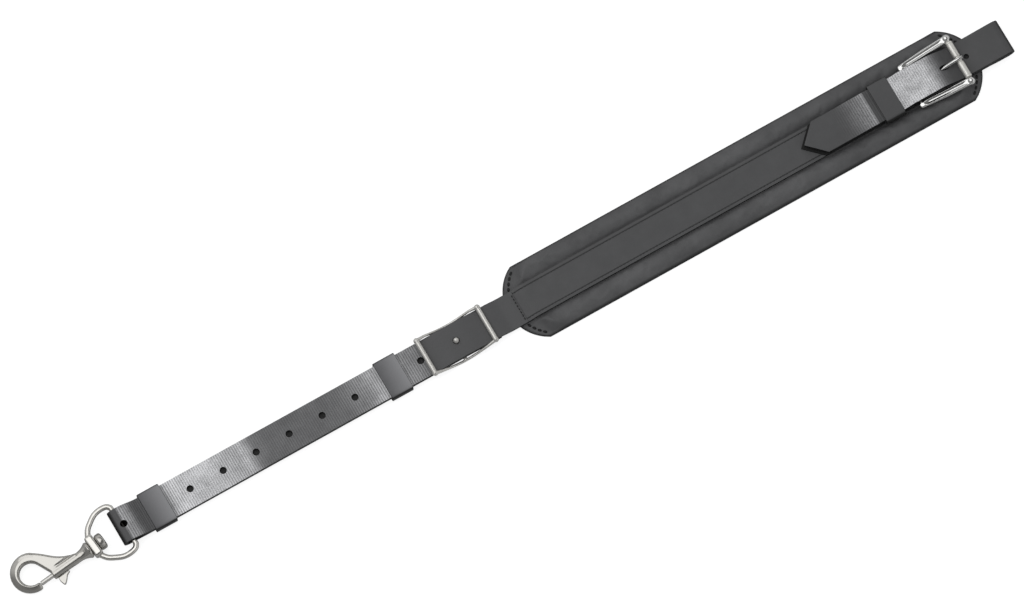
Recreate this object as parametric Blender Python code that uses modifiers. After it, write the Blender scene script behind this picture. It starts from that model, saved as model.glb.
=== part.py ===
"""False martingale for a driving harness, lying flat as it is sold.

A padded strap with a collar loop and a roller buckle at one end, and at the other a
doubled lower strap that a Conway buckle adjusts and that carries a swivel bolt snap.

The origin is the middle of the pad's underside. +X runs along the strap to the collar
loop, +Y across it and +Z up. Sizes are in metres.
"""

import math

import bmesh
import bpy
from mathutils import Matrix, Vector

MM = 0.001
CLEARANCE = 0.3 * MM  # gap between pieces that lie on each other or turn in each other

# Strap
STRAP_WIDTH = 30 * MM
STRAP_THICKNESS = 2.8 * MM
STRAP_EDGE = 0.5 * MM  # bevel along the cut edges
BEND_STEPS = 8  # facets in each bend of a strap
ROUTE_STEP = 0.2 * MM  # nearer points along a strap are one
CUT_PAST = 1 * MM  # how far a cutter runs past what it cuts

# Pad
PAD_LENGTH = 447 * MM
PAD_WIDTH = 68 * MM
PAD_END_BULGE = 20.5 * MM  # how far each rounded end stands past its corners
LINING_THICKNESS = 1.5 * MM
COVER_THICKNESS = 1.3 * MM
PAD_SEAT = 5.5 * MM  # top of the cover where the strap presses it down
PAD_CROWN = 9.0 * MM  # top of the padding on each side of the strap
PAD_SEAT_MARGIN = 1.0 * MM
PAD_HEM = 8.5 * MM  # flat stitched hem at each end
PAD_SHOULDER = 12 * MM  # length over which the padding falls to the hem
CORE_SETBACK = 5 * MM  # from the hem to the foam
CORE_MARGIN = 2.2 * MM  # from the long edges to the foam
PAD_SEAM_INSET = 10.5 * MM  # from the pad's end to the cross row where the two straps meet
PAD_LONG_STEPS = 5

# Sliding keepers
KEEPER_WALL = 2.0 * MM
KEEPER_WIDTH = 19.7 * MM
KEEPER_CORNER = 1.6 * MM
KEEPER_MARGIN = 1.5 * MM  # straight strap on each side of a keeper
UPPER_KEEPER_GAP = 21.3 * MM  # from the Conway buckle's end bar to the upper keeper
LOWER_KEEPER_GAP = 21.95 * MM  # from the snap's bar to the lower keeper

# Holes of the lower strap
HOLE_DIAMETER = 6 * MM
HOLE_PITCH = 31.1 * MM
FIRST_HOLE = 33.6 * MM  # from the stud to the first open hole
HOLE_COUNT = 10

# Conway buckle
CONWAY_GAP = 49.8 * MM  # from the pad's end to the stud
CONWAY_SPAN = 57.5 * MM  # between the two end bars
CONWAY_BAR = 4.6 * MM
CONWAY_END_SWELL = 0.5 * MM  # how much wider than the bars their rounded ends are
CONWAY_RAIL = 2.3 * MM
CONWAY_CENTRE_BAR = 3.2 * MM
CONWAY_BOSS = 7.2 * MM
CONWAY_BOSS_MARGIN = 2 * MM  # flat strap on each side of the boss
CONWAY_SIDE_ROOM = 0.6 * MM  # from the strap's edge to a rail
STUD_DIAMETER = 5.0 * MM
STUD_FOOT = 3.2 * MM
STUD_FOOT_INSET = 0.2 * MM  # from the boss's underside to the rivet's end
STUD_RISE = 3.2 * MM  # above the strap
TAIL_PAST_BAR = 6 * MM

# Swivel snap, measured along its own axis from the bar that the strap goes round
LOWER_STRAP_LENGTH = 314.2 * MM  # from the stud to the bar
SNAP_YAW = math.radians(5.8)
EYE_WIRE = 5.0 * MM
EYE_BAR_ROOM = 3.5 * MM  # from the strap's edge to the end of the bar
EYE_BOW_ROOM = 7.2 * MM  # from the strap's edge to the middle of the bow at its widest
BOSS_NEAR = 25.8 * MM
BOSS_LENGTH = 7.3 * MM
BOSS_WIDTH = 19 * MM
BOSS_HEIGHT = 12 * MM
POST_DIAMETER = 6 * MM
BUTTON_DIAMETER = 14.2 * MM
BUTTON_LENGTH = 6.0 * MM
POST_SOCKET = 5.0 * MM
FLARE_DIAMETER = 14.8 * MM
FLARE_LENGTH = 1.8 * MM
BARREL_DIAMETER = 8.5 * MM
BARREL_LENGTH = 26.3 * MM
NECK_LENGTH = 4 * MM  # from the bore's end to where the barrel is straight
TURNED_EDGE = 0.6 * MM
HOOK_THICKNESS = 7.8 * MM
HOOK_ROUNDING = 2.4 * MM
HOOK_BACK_ANGLE = 122  # degrees round the ring, where the hook's back joins it
GATE_WIDTH = 11.9 * MM  # from the barrel's mouth to the nose
RING_PAST_NOSE = 2.0 * MM
RING_OFFSET = 12.4 * MM  # from the snap's axis to the ring's centre
RING_RADIUS = 16.9 * MM
EYELET_PAST_NOSE = 2.2 * MM
EYELET_OFFSET = 11.2 * MM
EYELET_RADIUS = 9.6 * MM
BOLT_DIAMETER = 4.0 * MM
BOLT_IN_BARREL = 10.0 * MM
BOLT_EDGE = 0.4 * MM
THUMB_SHANK = 2.2 * MM
THUMB_FROM_REAR = 3.2 * MM  # from the bolt's rear end to the shank
THUMB_THICKNESS = 3.8 * MM
THUMB_REACH = 12.4 * MM
THUMB_FRONT = 4.6 * MM  # from the shank to the tab's front
THUMB_TAIL = 6.5 * MM  # from the shank to the tab's rear
THUMB_EDGE = 0.7 * MM
SPRING_WIRE = 0.6 * MM
SPRING_TURNS = 8
SPRING_COIL_STEPS = 9
SPRING_ROOM = 1.5 * MM  # wall between the swivel socket and the spring

# Collar loop and billet
COLLAR_LOOP_REACH = 28 * MM  # from the pad's end to the loop's end
LOOP_HEIGHT = 5.4 * MM  # clear height inside the loop
LOOP_LOW = 3.4 * MM  # middle of the strap where the loop lies lowest
LOOP_FLAT = 8 * MM  # level length inside the loop, before its end
BILLET_LENGTH = 141.1 * MM  # from the front bar to the shoulder of the point
BILLET_POINT = 6.8 * MM
BILLET_FLAT = 20 * MM  # level length before the shoulder
BILLET_FLOAT = 0.4 * MM
TONGUE_SLOT_BACK = 14.2 * MM  # from the front bar back to the slot
TONGUE_SLOT_LENGTH = 10.4 * MM
TONGUE_SLOT_WIDTH = 4.8 * MM
BILLET_HOLE = 4.6 * MM
BILLET_HOLE_PITCH = 21.7 * MM

# Roller buckle
BUCKLE_INSET = 17.5 * MM  # from the pad's end to the front bar
BUCKLE_REACH = 45.2 * MM  # from the front bar to the heel bar
BUCKLE_BAR = 3.6 * MM
ARM_WIDTH = 6.2 * MM
ARM_HEEL_WIDTH = 5.2 * MM
ARM_THICKNESS = 3.6 * MM
ARM_BEVEL = 1.1 * MM
ARM_PAST_BAR = 0.6 * MM  # how far an arm runs past each bar
KNOB_DIAMETER = 7.0 * MM
ROLLER_WALL = 0.9 * MM
ROLLER_WAIST_WALL = 0.4 * MM
ROLLER_WAIST_LENGTH = 5.0 * MM
ROLLER_ROOM = 2.2 * MM  # from the strap's edge to the roller's end
ROLLER_EDGE = 0.5 * MM
TONGUE_WIRE = 2.8 * MM
TONGUE_FLATNESS = 1.3  # how much wider than high the prong is
TONGUE_LOOP_WALL = 1.5 * MM
TONGUE_LOOP_WIDTH = 5.4 * MM
TONGUE_TIP_PAST = 3.0 * MM

# Chape, which holds the buckle, and the keeper sewn into it
CHAPE_THICKNESS = 1.5 * MM
CHAPE_PAST_BILLET = 2.8 * MM
CHAPE_STEP = 4 * MM  # how far the upper layer stops short of the lower one
CHAPE_FALL = 14 * MM  # length over which its upper layer comes down behind the keeper
FIXED_KEEPER_GAP = 15.7 * MM  # from the heel bar to the fixed keeper
FIXED_KEEPER_WIDTH = 18 * MM
FIXED_KEEPER_WALL = 1.5 * MM
FIXED_KEEPER_ROOM = 1.4 * MM  # beside the strap, inside the keeper

# Places along the strap, from the pad's middle
PAD_END_X = PAD_LENGTH / 2
PAD_SEAM_X = -PAD_END_X + PAD_SEAM_INSET
CONWAY_X = -PAD_END_X - CONWAY_GAP
SNAP_BAR_X = CONWAY_X - LOWER_STRAP_LENGTH
UPPER_KEEPER_X = CONWAY_X - CONWAY_SPAN / 2 - UPPER_KEEPER_GAP - KEEPER_WIDTH / 2
LOWER_KEEPER_X = SNAP_BAR_X + LOWER_KEEPER_GAP + KEEPER_WIDTH / 2
COLLAR_END_X = PAD_END_X + COLLAR_LOOP_REACH
BUCKLE_FRONT_X = PAD_END_X - BUCKLE_INSET
BILLET_SHOULDER_X = BUCKLE_FRONT_X - BILLET_LENGTH
CHAPE_SHOULDER_X = BILLET_SHOULDER_X - CHAPE_PAST_BILLET
HEEL_X = BUCKLE_FRONT_X - BUCKLE_REACH
FIXED_KEEPER_X = HEEL_X - FIXED_KEEPER_GAP - FIXED_KEEPER_WIDTH / 2
KEEPER_REAR_X = FIXED_KEEPER_X - FIXED_KEEPER_WIDTH / 2 - KEEPER_MARGIN
KEEPER_FRONT_X = FIXED_KEEPER_X + FIXED_KEEPER_WIDTH / 2 + KEEPER_MARGIN
TONGUE_SLOT_X = BUCKLE_FRONT_X - TONGUE_SLOT_BACK
STRAP_SPREAD_X = LOWER_KEEPER_X - KEEPER_WIDTH / 2 - KEEPER_MARGIN

# Sizes that follow from the ones above
ROLLER_BORE = BUCKLE_BAR + 2 * CLEARANCE
ROLLER_DIAMETER = ROLLER_BORE + 2 * ROLLER_WALL
ROLLER_WAIST = ROLLER_BORE + 2 * ROLLER_WAIST_WALL
ROLLER_LENGTH = STRAP_WIDTH + 2 * ROLLER_ROOM
EYE_BAR_HALF = STRAP_WIDTH / 2 + EYE_BAR_ROOM
EYE_SHOULDER = STRAP_WIDTH / 2 + EYE_BOW_ROOM
HEM_TOP = LINING_THICKNESS + CLEARANCE + COVER_THICKNESS
LAYER_LOW = KEEPER_WALL + CLEARANCE + STRAP_THICKNESS / 2
LAYER_HIGH = LAYER_LOW + STRAP_THICKNESS + CLEARANCE
CONWAY_HUMP = CONWAY_CENTRE_BAR + CLEARANCE + STRAP_THICKNESS / 2 - LAYER_LOW
CONWAY_BAR_Z = LAYER_HIGH + STRAP_THICKNESS / 2 + CLEARANCE + CONWAY_BAR / 2
CONWAY_RAIL_Y = STRAP_WIDTH / 2 + CONWAY_SIDE_ROOM + CONWAY_RAIL / 2
CENTRE_STRAP_TOP = PAD_SEAT + CLEARANCE + STRAP_THICKNESS
CHAPE_LOW = CENTRE_STRAP_TOP + CLEARANCE + CHAPE_THICKNESS / 2
HEEL_RADIUS = BUCKLE_BAR / 2 + CLEARANCE + CHAPE_THICKNESS / 2
HEEL_Z = CHAPE_LOW + HEEL_RADIUS
KEEPER_FLOOR = CHAPE_LOW + CHAPE_THICKNESS / 2 + CLEARANCE
CHAPE_IN_KEEPER = KEEPER_FLOOR + FIXED_KEEPER_WALL + CLEARANCE + CHAPE_THICKNESS / 2
CHAPE_HIGH = CHAPE_LOW + CHAPE_THICKNESS + CLEARANCE
CHAPE_TO_BILLET = CHAPE_THICKNESS / 2 + CLEARANCE + STRAP_THICKNESS / 2
KEEPER_CEILING = CHAPE_IN_KEEPER + CHAPE_TO_BILLET + STRAP_THICKNESS / 2 + CLEARANCE
BILLET_UNDER_ROLLER = CENTRE_STRAP_TOP + CLEARANCE + STRAP_THICKNESS / 2
BUCKLE_FRONT_Z = BILLET_UNDER_ROLLER + STRAP_THICKNESS / 2 + CLEARANCE + ROLLER_DIAMETER / 2
BILLET_OVER_HEEL = HEEL_Z + HEEL_RADIUS + CHAPE_TO_BILLET

# The snap lies on the rim of its flare and on the far side of its hook
FLARE_X = BOSS_NEAR + BOSS_LENGTH + CLEARANCE
FLARE_RIM = FLARE_X + FLARE_LENGTH
BORE_START = FLARE_X + POST_SOCKET + CLEARANCE + SPRING_ROOM
BARREL_START = BORE_START + NECK_LENGTH
BARREL_MOUTH = BARREL_START + BARREL_LENGTH
NOSE_TIP = BARREL_MOUTH + GATE_WIDTH
RING_CENTRE = (NOSE_TIP + RING_PAST_NOSE, RING_OFFSET)
EYELET_CENTRE = (NOSE_TIP + EYELET_PAST_NOSE, EYELET_OFFSET)
RING_FAR = RING_CENTRE[0] + RING_RADIUS
SNAP_PITCH = math.asin((FLARE_DIAMETER - HOOK_THICKNESS) / 2 / (RING_FAR - FLARE_RIM))
SNAP_BAR_Z = FLARE_DIAMETER / 2 + FLARE_RIM * math.sin(SNAP_PITCH)
FOLD_RADIUS = EYE_WIRE / 2 + CLEARANCE + STRAP_THICKNESS / 2
FOLD_SLACK = STRAP_WIDTH / 2 * math.tan(SNAP_YAW)  # room for the bar to stand askew
BORE_RADIUS = BOLT_DIAMETER / 2 + CLEARANCE
BOLT_TIP = NOSE_TIP - CLEARANCE
BOLT_REAR = BARREL_MOUTH - BOLT_IN_BARREL
BOLT_TRAVEL = BOLT_TIP - BARREL_MOUTH
SHANK_X = BOLT_REAR + THUMB_FROM_REAR


def clear_scene():
    """Removes every object that the file holds."""
    for thing in list(bpy.data.objects):
        bpy.data.objects.remove(thing, do_unlink=True)


def collection(name):
    """A new collection in the scene."""
    made = bpy.data.collections.new(name)
    bpy.context.scene.collection.children.link(made)
    return made


def principled(name, colour, roughness, metallic=0.0):
    """A material with one colour, roughness and metallic value."""
    made = bpy.data.materials.new(name)
    made.use_nodes = True
    shader = made.node_tree.nodes["Principled BSDF"]
    shader.inputs["Base Color"].default_value = (*colour, 1)
    shader.inputs["Roughness"].default_value = roughness
    shader.inputs["Metallic"].default_value = metallic
    return made


clear_scene()
PARTS = collection("false_martingale")
CUTTERS = collection("cutters")


def add(name, mesh, colour, roughness, metallic=0.0, parent=None):
    """Puts a mesh in the model as one named piece with its own material."""
    piece = bpy.data.objects.new(name, mesh)
    mesh.materials.append(principled(name, colour, roughness, metallic))
    PARTS.objects.link(piece)
    piece.parent = parent
    return piece


def tool(name, mesh, parent=None):
    """A mesh that only cuts or joins, kept out of the model."""
    made = bpy.data.objects.new(name, mesh)
    CUTTERS.objects.link(made)
    made.hide_render = True
    made.display_type = "WIRE"
    made.parent = parent
    return made


def combine(piece, other, operation):
    """Cuts another object away from a piece, or joins it on."""
    step = piece.modifiers.new(other.name, "BOOLEAN")
    step.object = other
    step.operation = operation
    step.solver = "EXACT"


def bevel(piece, width, segments=1, angle=40):
    """Rounds a piece's sharp edges."""
    step = piece.modifiers.new("edge", "BEVEL")
    step.width = width
    step.segments = segments
    step.limit_method = "ANGLE"
    step.angle_limit = math.radians(angle)
    step.use_clamp_overlap = True


def smooth_step(t):
    """0 to 1 with level ends."""
    t = min(1.0, max(0.0, t))
    return t * t * (3 - 2 * t)


def new_mesh(name, bm, sharp=35):
    """Turns a bmesh into a mesh, shaded smooth except at sharp edges."""
    mesh = bpy.data.meshes.new(name)
    bm.to_mesh(mesh)
    bm.free()
    mesh.shade_smooth()
    mesh.set_sharp_from_angle(angle=math.radians(sharp))
    return mesh


def block(name, size, centre):
    """A box mesh."""
    bm = bmesh.new()
    bmesh.ops.create_cube(bm, size=1)
    bmesh.ops.scale(bm, vec=size, verts=bm.verts)
    bmesh.ops.translate(bm, vec=centre, verts=bm.verts)
    return new_mesh(name, bm)


def rod(bm, start, end, radius, sides=16):
    """Adds a closed cylinder between two points to a bmesh."""
    start, end = Vector(start), Vector(end)
    turn = (end - start).to_track_quat("Z", "Y").to_matrix().to_4x4()
    place = Matrix.Translation((start + end) / 2) @ turn
    bmesh.ops.create_cone(
        bm, cap_ends=True, segments=sides, radius1=radius, radius2=radius,
        depth=(end - start).length, matrix=place,
    )


def rod_mesh(name, start, end, radius, sides=16):
    """A cylinder mesh between two points."""
    bm = bmesh.new()
    rod(bm, start, end, radius, sides)
    return new_mesh(name, bm)


def ball_mesh(name, diameter, segments=16, rings=10):
    """A sphere mesh with its poles along Y."""
    bm = bmesh.new()
    bmesh.ops.create_uvsphere(bm, u_segments=segments, v_segments=rings, radius=diameter / 2)
    bmesh.ops.rotate(bm, verts=bm.verts, matrix=Matrix.Rotation(math.radians(90), 3, "X"))
    return new_mesh(name, bm)


def prism(name, outline, half_height):
    """A flat outline in the XY plane, drawn out to both sides."""
    bm = bmesh.new()
    corners = [bm.verts.new((x, y, -half_height)) for x, y in outline]
    face = bm.faces.new(corners)
    raised = bmesh.ops.extrude_face_region(bm, geom=[face])
    top = [v for v in raised["geom"] if isinstance(v, bmesh.types.BMVert)]
    bmesh.ops.translate(bm, vec=(0, 0, 2 * half_height), verts=top)
    bmesh.ops.recalc_face_normals(bm, faces=bm.faces)
    return new_mesh(name, bm)


def turned(piece, steps=24):
    """Spins a piece's profile round its Z axis."""
    step = piece.modifiers.new("turn", "SCREW")
    step.steps = steps
    step.render_steps = steps
    step.use_merge_vertices = True
    step.merge_threshold = 0.00001


def profile_mesh(name, points, closed=False):
    """The edges of a turned profile, given as (radius, height) down its outer side."""
    bm = bmesh.new()
    verts = [bm.verts.new((r, 0, z)) for r, z in points]
    for a, b in zip(verts, verts[1:]):
        bm.edges.new((a, b))
    if closed:
        bm.edges.new((verts[-1], verts[0]))
    mesh = bpy.data.meshes.new(name)
    bm.to_mesh(mesh)
    bm.free()
    return mesh


def tube_mesh(name, points, radii, cyclic=False, resolution=3):
    """A tube along points, with a radius at each, as a closed mesh."""
    curve = bpy.data.curves.new(name, "CURVE")
    curve.dimensions = "3D"
    curve.bevel_depth = 1.0
    curve.bevel_resolution = resolution
    curve.use_fill_caps = not cyclic
    spline = curve.splines.new("POLY")
    spline.points.add(len(points) - 1)
    for target, point, radius in zip(spline.points, points, radii):
        target.co = (*point, 1)
        target.radius = radius
    spline.use_cyclic_u = cyclic
    holder = bpy.data.objects.new(name, curve)
    bpy.context.scene.collection.objects.link(holder)
    bpy.context.view_layer.update()
    evaluated = holder.evaluated_get(bpy.context.evaluated_depsgraph_get())
    mesh = bpy.data.meshes.new_from_object(evaluated)
    bpy.data.objects.remove(holder)
    bm = bmesh.new()
    bm.from_mesh(mesh)
    bmesh.ops.remove_doubles(bm, verts=bm.verts, dist=0.00001)
    bmesh.ops.recalc_face_normals(bm, faces=bm.faces)
    bm.to_mesh(mesh)
    bm.free()
    mesh.name = name
    mesh.shade_smooth()
    return mesh


def smooth_line(knots, steps=4):
    """Points of a smooth curve through knots of any dimension."""
    knots = [Vector(k) for k in knots]
    ends = [2 * knots[0] - knots[1]] + knots + [2 * knots[-1] - knots[-2]]
    points = []
    for a, b, c, d in zip(ends, ends[1:], ends[2:], ends[3:]):
        for k in range(steps):
            t = k / steps
            points.append(
                0.5 * (2 * b + (c - a) * t + (2 * a - 5 * b + 4 * c - d) * t**2
                       + (3 * b - a - 3 * c + d) * t**3)
            )
    return points + [knots[-1]]


def arc(centre, radius, start, end, steps):
    """Points of an arc, with its angles in degrees."""
    points = []
    for k in range(steps + 1):
        angle = math.radians(start + (end - start) * k / steps)
        points.append((centre[0] + radius * math.cos(angle), centre[1] + radius * math.sin(angle)))
    return points


def ramp(x0, z0, x1, z1, steps=BEND_STEPS):
    """Side view of a strap that changes height and is level at both ends."""
    points = []
    for k in range(steps + 1):
        t = k / steps
        points.append((x0 + (x1 - x0) * t, z0 + (z1 - z0) * smooth_step(t)))
    return points


def strap(name, route, thickness, colour, roughness, start_point=0.0, end_point=0.0):
    """A leather strap along a side view, square or with a pointed end."""
    kept = [route[0]]
    for place in route[1:]:
        if (Vector(place) - Vector(kept[-1])).length > ROUTE_STEP:
            kept.append(place)
    bm = bmesh.new()
    rows = [[bm.verts.new((x, side * STRAP_WIDTH / 2, z)) for side in (-1, 1)] for x, z in kept]
    for (a, b), (c, d) in zip(rows, rows[1:]):
        bm.faces.new((a, c, d, b))
    for row, beside, reach in ((rows[0], rows[1], start_point), (rows[-1], rows[-2], end_point)):
        if reach:
            middle = (row[0].co + row[1].co) / 2
            along = middle - (beside[0].co + beside[1].co) / 2
            tip = bm.verts.new(middle + along.normalized() * reach)
            bm.faces.new((row[0], row[1], tip))
    bmesh.ops.recalc_face_normals(bm, faces=bm.faces)
    piece = add(name, new_mesh(name, bm), colour, roughness)
    shell = piece.modifiers.new("leather", "SOLIDIFY")
    shell.thickness = thickness
    shell.offset = 0
    shell.use_even_offset = True
    bevel(piece, STRAP_EDGE * min(1, thickness / STRAP_THICKNESS), angle=50)
    return piece


def keeper(name, x, width, half_room, floor, ceiling, wall, colour, roughness):
    """A leather loop round the strap, given by the room inside it."""
    reach = half_room + wall / 2
    low, high = floor + wall / 2, ceiling + wall / 2
    corner = KEEPER_CORNER
    loop = []
    for y, z, start in ((1, low, -90), (1, high, 0), (-1, high, 90), (-1, low, 180)):
        inward = -1 if z == high else 1
        centre = (y * (reach - corner), z + inward * corner)
        loop += arc(centre, corner, start, start + 90, 3)
    bm = bmesh.new()
    rows = [[bm.verts.new((side * width / 2, y, z)) for side in (-1, 1)] for y, z in loop]
    for (a, b), (c, d) in zip(rows, rows[1:] + rows[:1]):
        bm.faces.new((a, b, d, c))
    bmesh.ops.recalc_face_normals(bm, faces=bm.faces)
    piece = add(name, new_mesh(name, bm), colour, roughness)
    piece.location = (x, 0, 0)
    shell = piece.modifiers.new("leather", "SOLIDIFY")
    shell.thickness = wall
    shell.offset = 0
    shell.use_even_offset = True
    bevel(piece, STRAP_EDGE, angle=50)
    return piece


BLACK = (0.018, 0.018, 0.019)
PAD_BLACK = (0.022, 0.022, 0.023)
FELT = (0.03, 0.03, 0.03)
STEEL = (0.72, 0.71, 0.68)
BRIGHT = (0.78, 0.78, 0.77)


# Pad


def pad_end(y):
    """X where the pad's rounded end lies at a distance y from its middle."""
    half = PAD_WIDTH / 2
    radius = (half**2 + PAD_END_BULGE**2) / (2 * PAD_END_BULGE)
    return PAD_END_X - radius + math.sqrt(radius**2 - y**2)


def cover_top(x, y):
    """Height of the pad's cover: pressed down under the strap, full beside it, flat at the hem."""
    seat_half = STRAP_WIDTH / 2 + PAD_SEAT_MARGIN
    across = max(0.0, (abs(y) - seat_half) / (PAD_WIDTH / 2 - seat_half))
    puff = PAD_CROWN - (PAD_SEAT + HEM_TOP) / 2
    full = PAD_SEAT + (HEM_TOP - PAD_SEAT) * across
    full += puff * max(0.0, math.sin(math.pi * min(1.0, across))) ** 0.7
    inward = pad_end(y) - abs(x)
    return HEM_TOP + (full - HEM_TOP) * smooth_step((inward - PAD_HEM) / PAD_SHOULDER)


def pad_stations(outermost, inset):
    """Distances from an end, and across, at which the padding's shape is set out."""
    ends = [PAD_HEM * k / 2 for k in range(3)]
    ends += [PAD_HEM + PAD_SHOULDER * k / 5 for k in (1, 2, 3, 4, 5)]
    ends = [outermost] + [d for d in ends if d > outermost + 0.5 * MM]
    seat_half = STRAP_WIDTH / 2 + PAD_SEAT_MARGIN
    rest = PAD_WIDTH / 2 - seat_half
    across = [0, seat_half / 2, seat_half]
    across += [seat_half + rest * t for t in (0.08, 0.2, 0.36, 0.54, 0.72, 0.86, 0.95, 1)]
    limit = PAD_WIDTH / 2 - inset
    across = [y for y in across if y < limit - 0.5 * MM] + [limit]
    return ends, [-y for y in across[:0:-1]] + across


def padding(name, top, bottom, outermost, inset, colour, roughness):
    """A pad layer between two height functions."""
    ends, across = pad_stations(outermost, inset)
    columns = 2 * len(ends) + PAD_LONG_STEPS - 1
    bm = bmesh.new()
    bmesh.ops.create_grid(bm, x_segments=columns, y_segments=len(across) - 1, size=1)
    raised = bmesh.ops.extrude_face_region(bm, geom=bm.faces[:])
    upper = {v for v in raised["geom"] if isinstance(v, bmesh.types.BMVert)}
    for v in bm.verts:
        column = round((v.co.x + 1) / 2 * columns)
        y = across[round((v.co.y + 1) / 2 * (len(across) - 1))]
        if column < len(ends):
            x = ends[column] - pad_end(y)
        elif column > columns - len(ends):
            x = pad_end(y) - ends[columns - column]
        else:
            part = (column - len(ends) + 1) / PAD_LONG_STEPS
            x = (2 * part - 1) * (pad_end(y) - ends[-1])
        v.co = (x, y, top(x, y) if v in upper else bottom(x, y))
    bmesh.ops.recalc_face_normals(bm, faces=bm.faces)
    return add(name, new_mesh(name, bm, sharp=50), colour, roughness)


def make_pad():
    """Lining, foam core and cover of the pad."""
    outline = []
    half = PAD_WIDTH / 2
    steps = 12
    for side in (1, -1):
        for k in range(steps + 1):
            y = side * (2 * k / steps - 1) * half
            outline.append((side * pad_end(y), y))
    lining = add("pad_lining", prism("pad_lining", outline, LINING_THICKNESS / 2), FELT, 0.9)
    lining.location = (0, 0, LINING_THICKNESS / 2)

    floor = LINING_THICKNESS + CLEARANCE

    def under_cover(x, y):
        return cover_top(x, y) - COVER_THICKNESS

    padding(
        "pad_core", lambda x, y: under_cover(x, y) - CLEARANCE, lambda x, y: floor,
        PAD_HEM + CORE_SETBACK, CORE_MARGIN, (0.05, 0.05, 0.05), 0.95,
    )
    padding("pad_cover", cover_top, under_cover, 0, 0, PAD_BLACK, 0.5)


# Straps


def over_pad(x):
    """Middle height of a strap that lies on the pad."""
    return cover_top(min(abs(x), PAD_END_X), 0) + CLEARANCE + STRAP_THICKNESS / 2


def over_shoulder(side, start, end, steps=BEND_STEPS):
    """Side view of the strap where it follows the pad's shoulder at one end."""
    points = []
    for k in range(steps + 1):
        x = side * (start + (end - start) * k / steps)
        points.append((x, over_pad(x)))
    return points


def holes(name, places, low, high, radius, sides=12):
    """Upright cylinders that punch a strap."""
    bm = bmesh.new()
    for x in places:
        rod(bm, (x, 0, low), (x, 0, high), radius, sides)
    return tool(name, new_mesh(name, bm))


def make_adjusting_strap():
    """The doubled lower strap: from its tail, round the snap's bar and back to the pad."""
    near = CONWAY_X + CONWAY_SPAN / 2
    far = CONWAY_X - CONWAY_SPAN / 2
    top_half = CONWAY_BOSS / 2 + CONWAY_BOSS_MARGIN
    fold_x = SNAP_BAR_X - FOLD_SLACK
    bow_x = SNAP_BAR_X + FOLD_SLACK
    hem = PAD_END_X - PAD_HEM
    route = [(near + TAIL_PAST_BAR, LAYER_LOW)]
    route += ramp(near - CONWAY_BAR, LAYER_LOW, CONWAY_X + top_half, LAYER_LOW + CONWAY_HUMP, 5)
    route += ramp(CONWAY_X - top_half, LAYER_LOW + CONWAY_HUMP, far + CONWAY_BAR, LAYER_LOW, 5)
    route += ramp(STRAP_SPREAD_X, LAYER_LOW, bow_x, SNAP_BAR_Z - FOLD_RADIUS)
    route += arc((fold_x, SNAP_BAR_Z), FOLD_RADIUS, 270, 90, 10)
    route += ramp(bow_x, SNAP_BAR_Z + FOLD_RADIUS, STRAP_SPREAD_X, LAYER_HIGH, 10)
    route += ramp(far + CONWAY_BAR, LAYER_HIGH, CONWAY_X - top_half, LAYER_HIGH + CONWAY_HUMP, 5)
    route += ramp(CONWAY_X + top_half, LAYER_HIGH + CONWAY_HUMP, near - CONWAY_BAR, LAYER_HIGH, 5)
    route += ramp(near + CONWAY_BAR, LAYER_HIGH, -PAD_END_X - STRAP_THICKNESS, over_pad(PAD_LENGTH))
    route += over_shoulder(-1, hem, -PAD_SEAM_X, 2)
    piece = strap("adjusting_strap", route, STRAP_THICKNESS, BLACK, 0.42)
    open_holes = [CONWAY_X - FIRST_HOLE - k * HOLE_PITCH for k in range(HOLE_COUNT)]
    between = (LAYER_LOW + LAYER_HIGH) / 2
    top = CONWAY_BAR_Z + CONWAY_BAR
    over_bar = SNAP_BAR_Z + EYE_WIRE / 2
    upper_layer = [x for x in open_holes if x >= STRAP_SPREAD_X]
    fold = [x for x in open_holes if x < STRAP_SPREAD_X]
    # The stud goes through both layers, and the open holes are in the upper one alone.
    cuts = [
        ("stud_hole", [CONWAY_X], -CUT_PAST, top),
        ("strap_holes", upper_layer, between, top),
        ("fold_hole", fold, over_bar, over_bar + 3 * STRAP_THICKNESS),
    ]
    for name, places, low, high in cuts:
        combine(piece, holes(name, places, low, high, HOLE_DIAMETER / 2), "DIFFERENCE")


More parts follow.
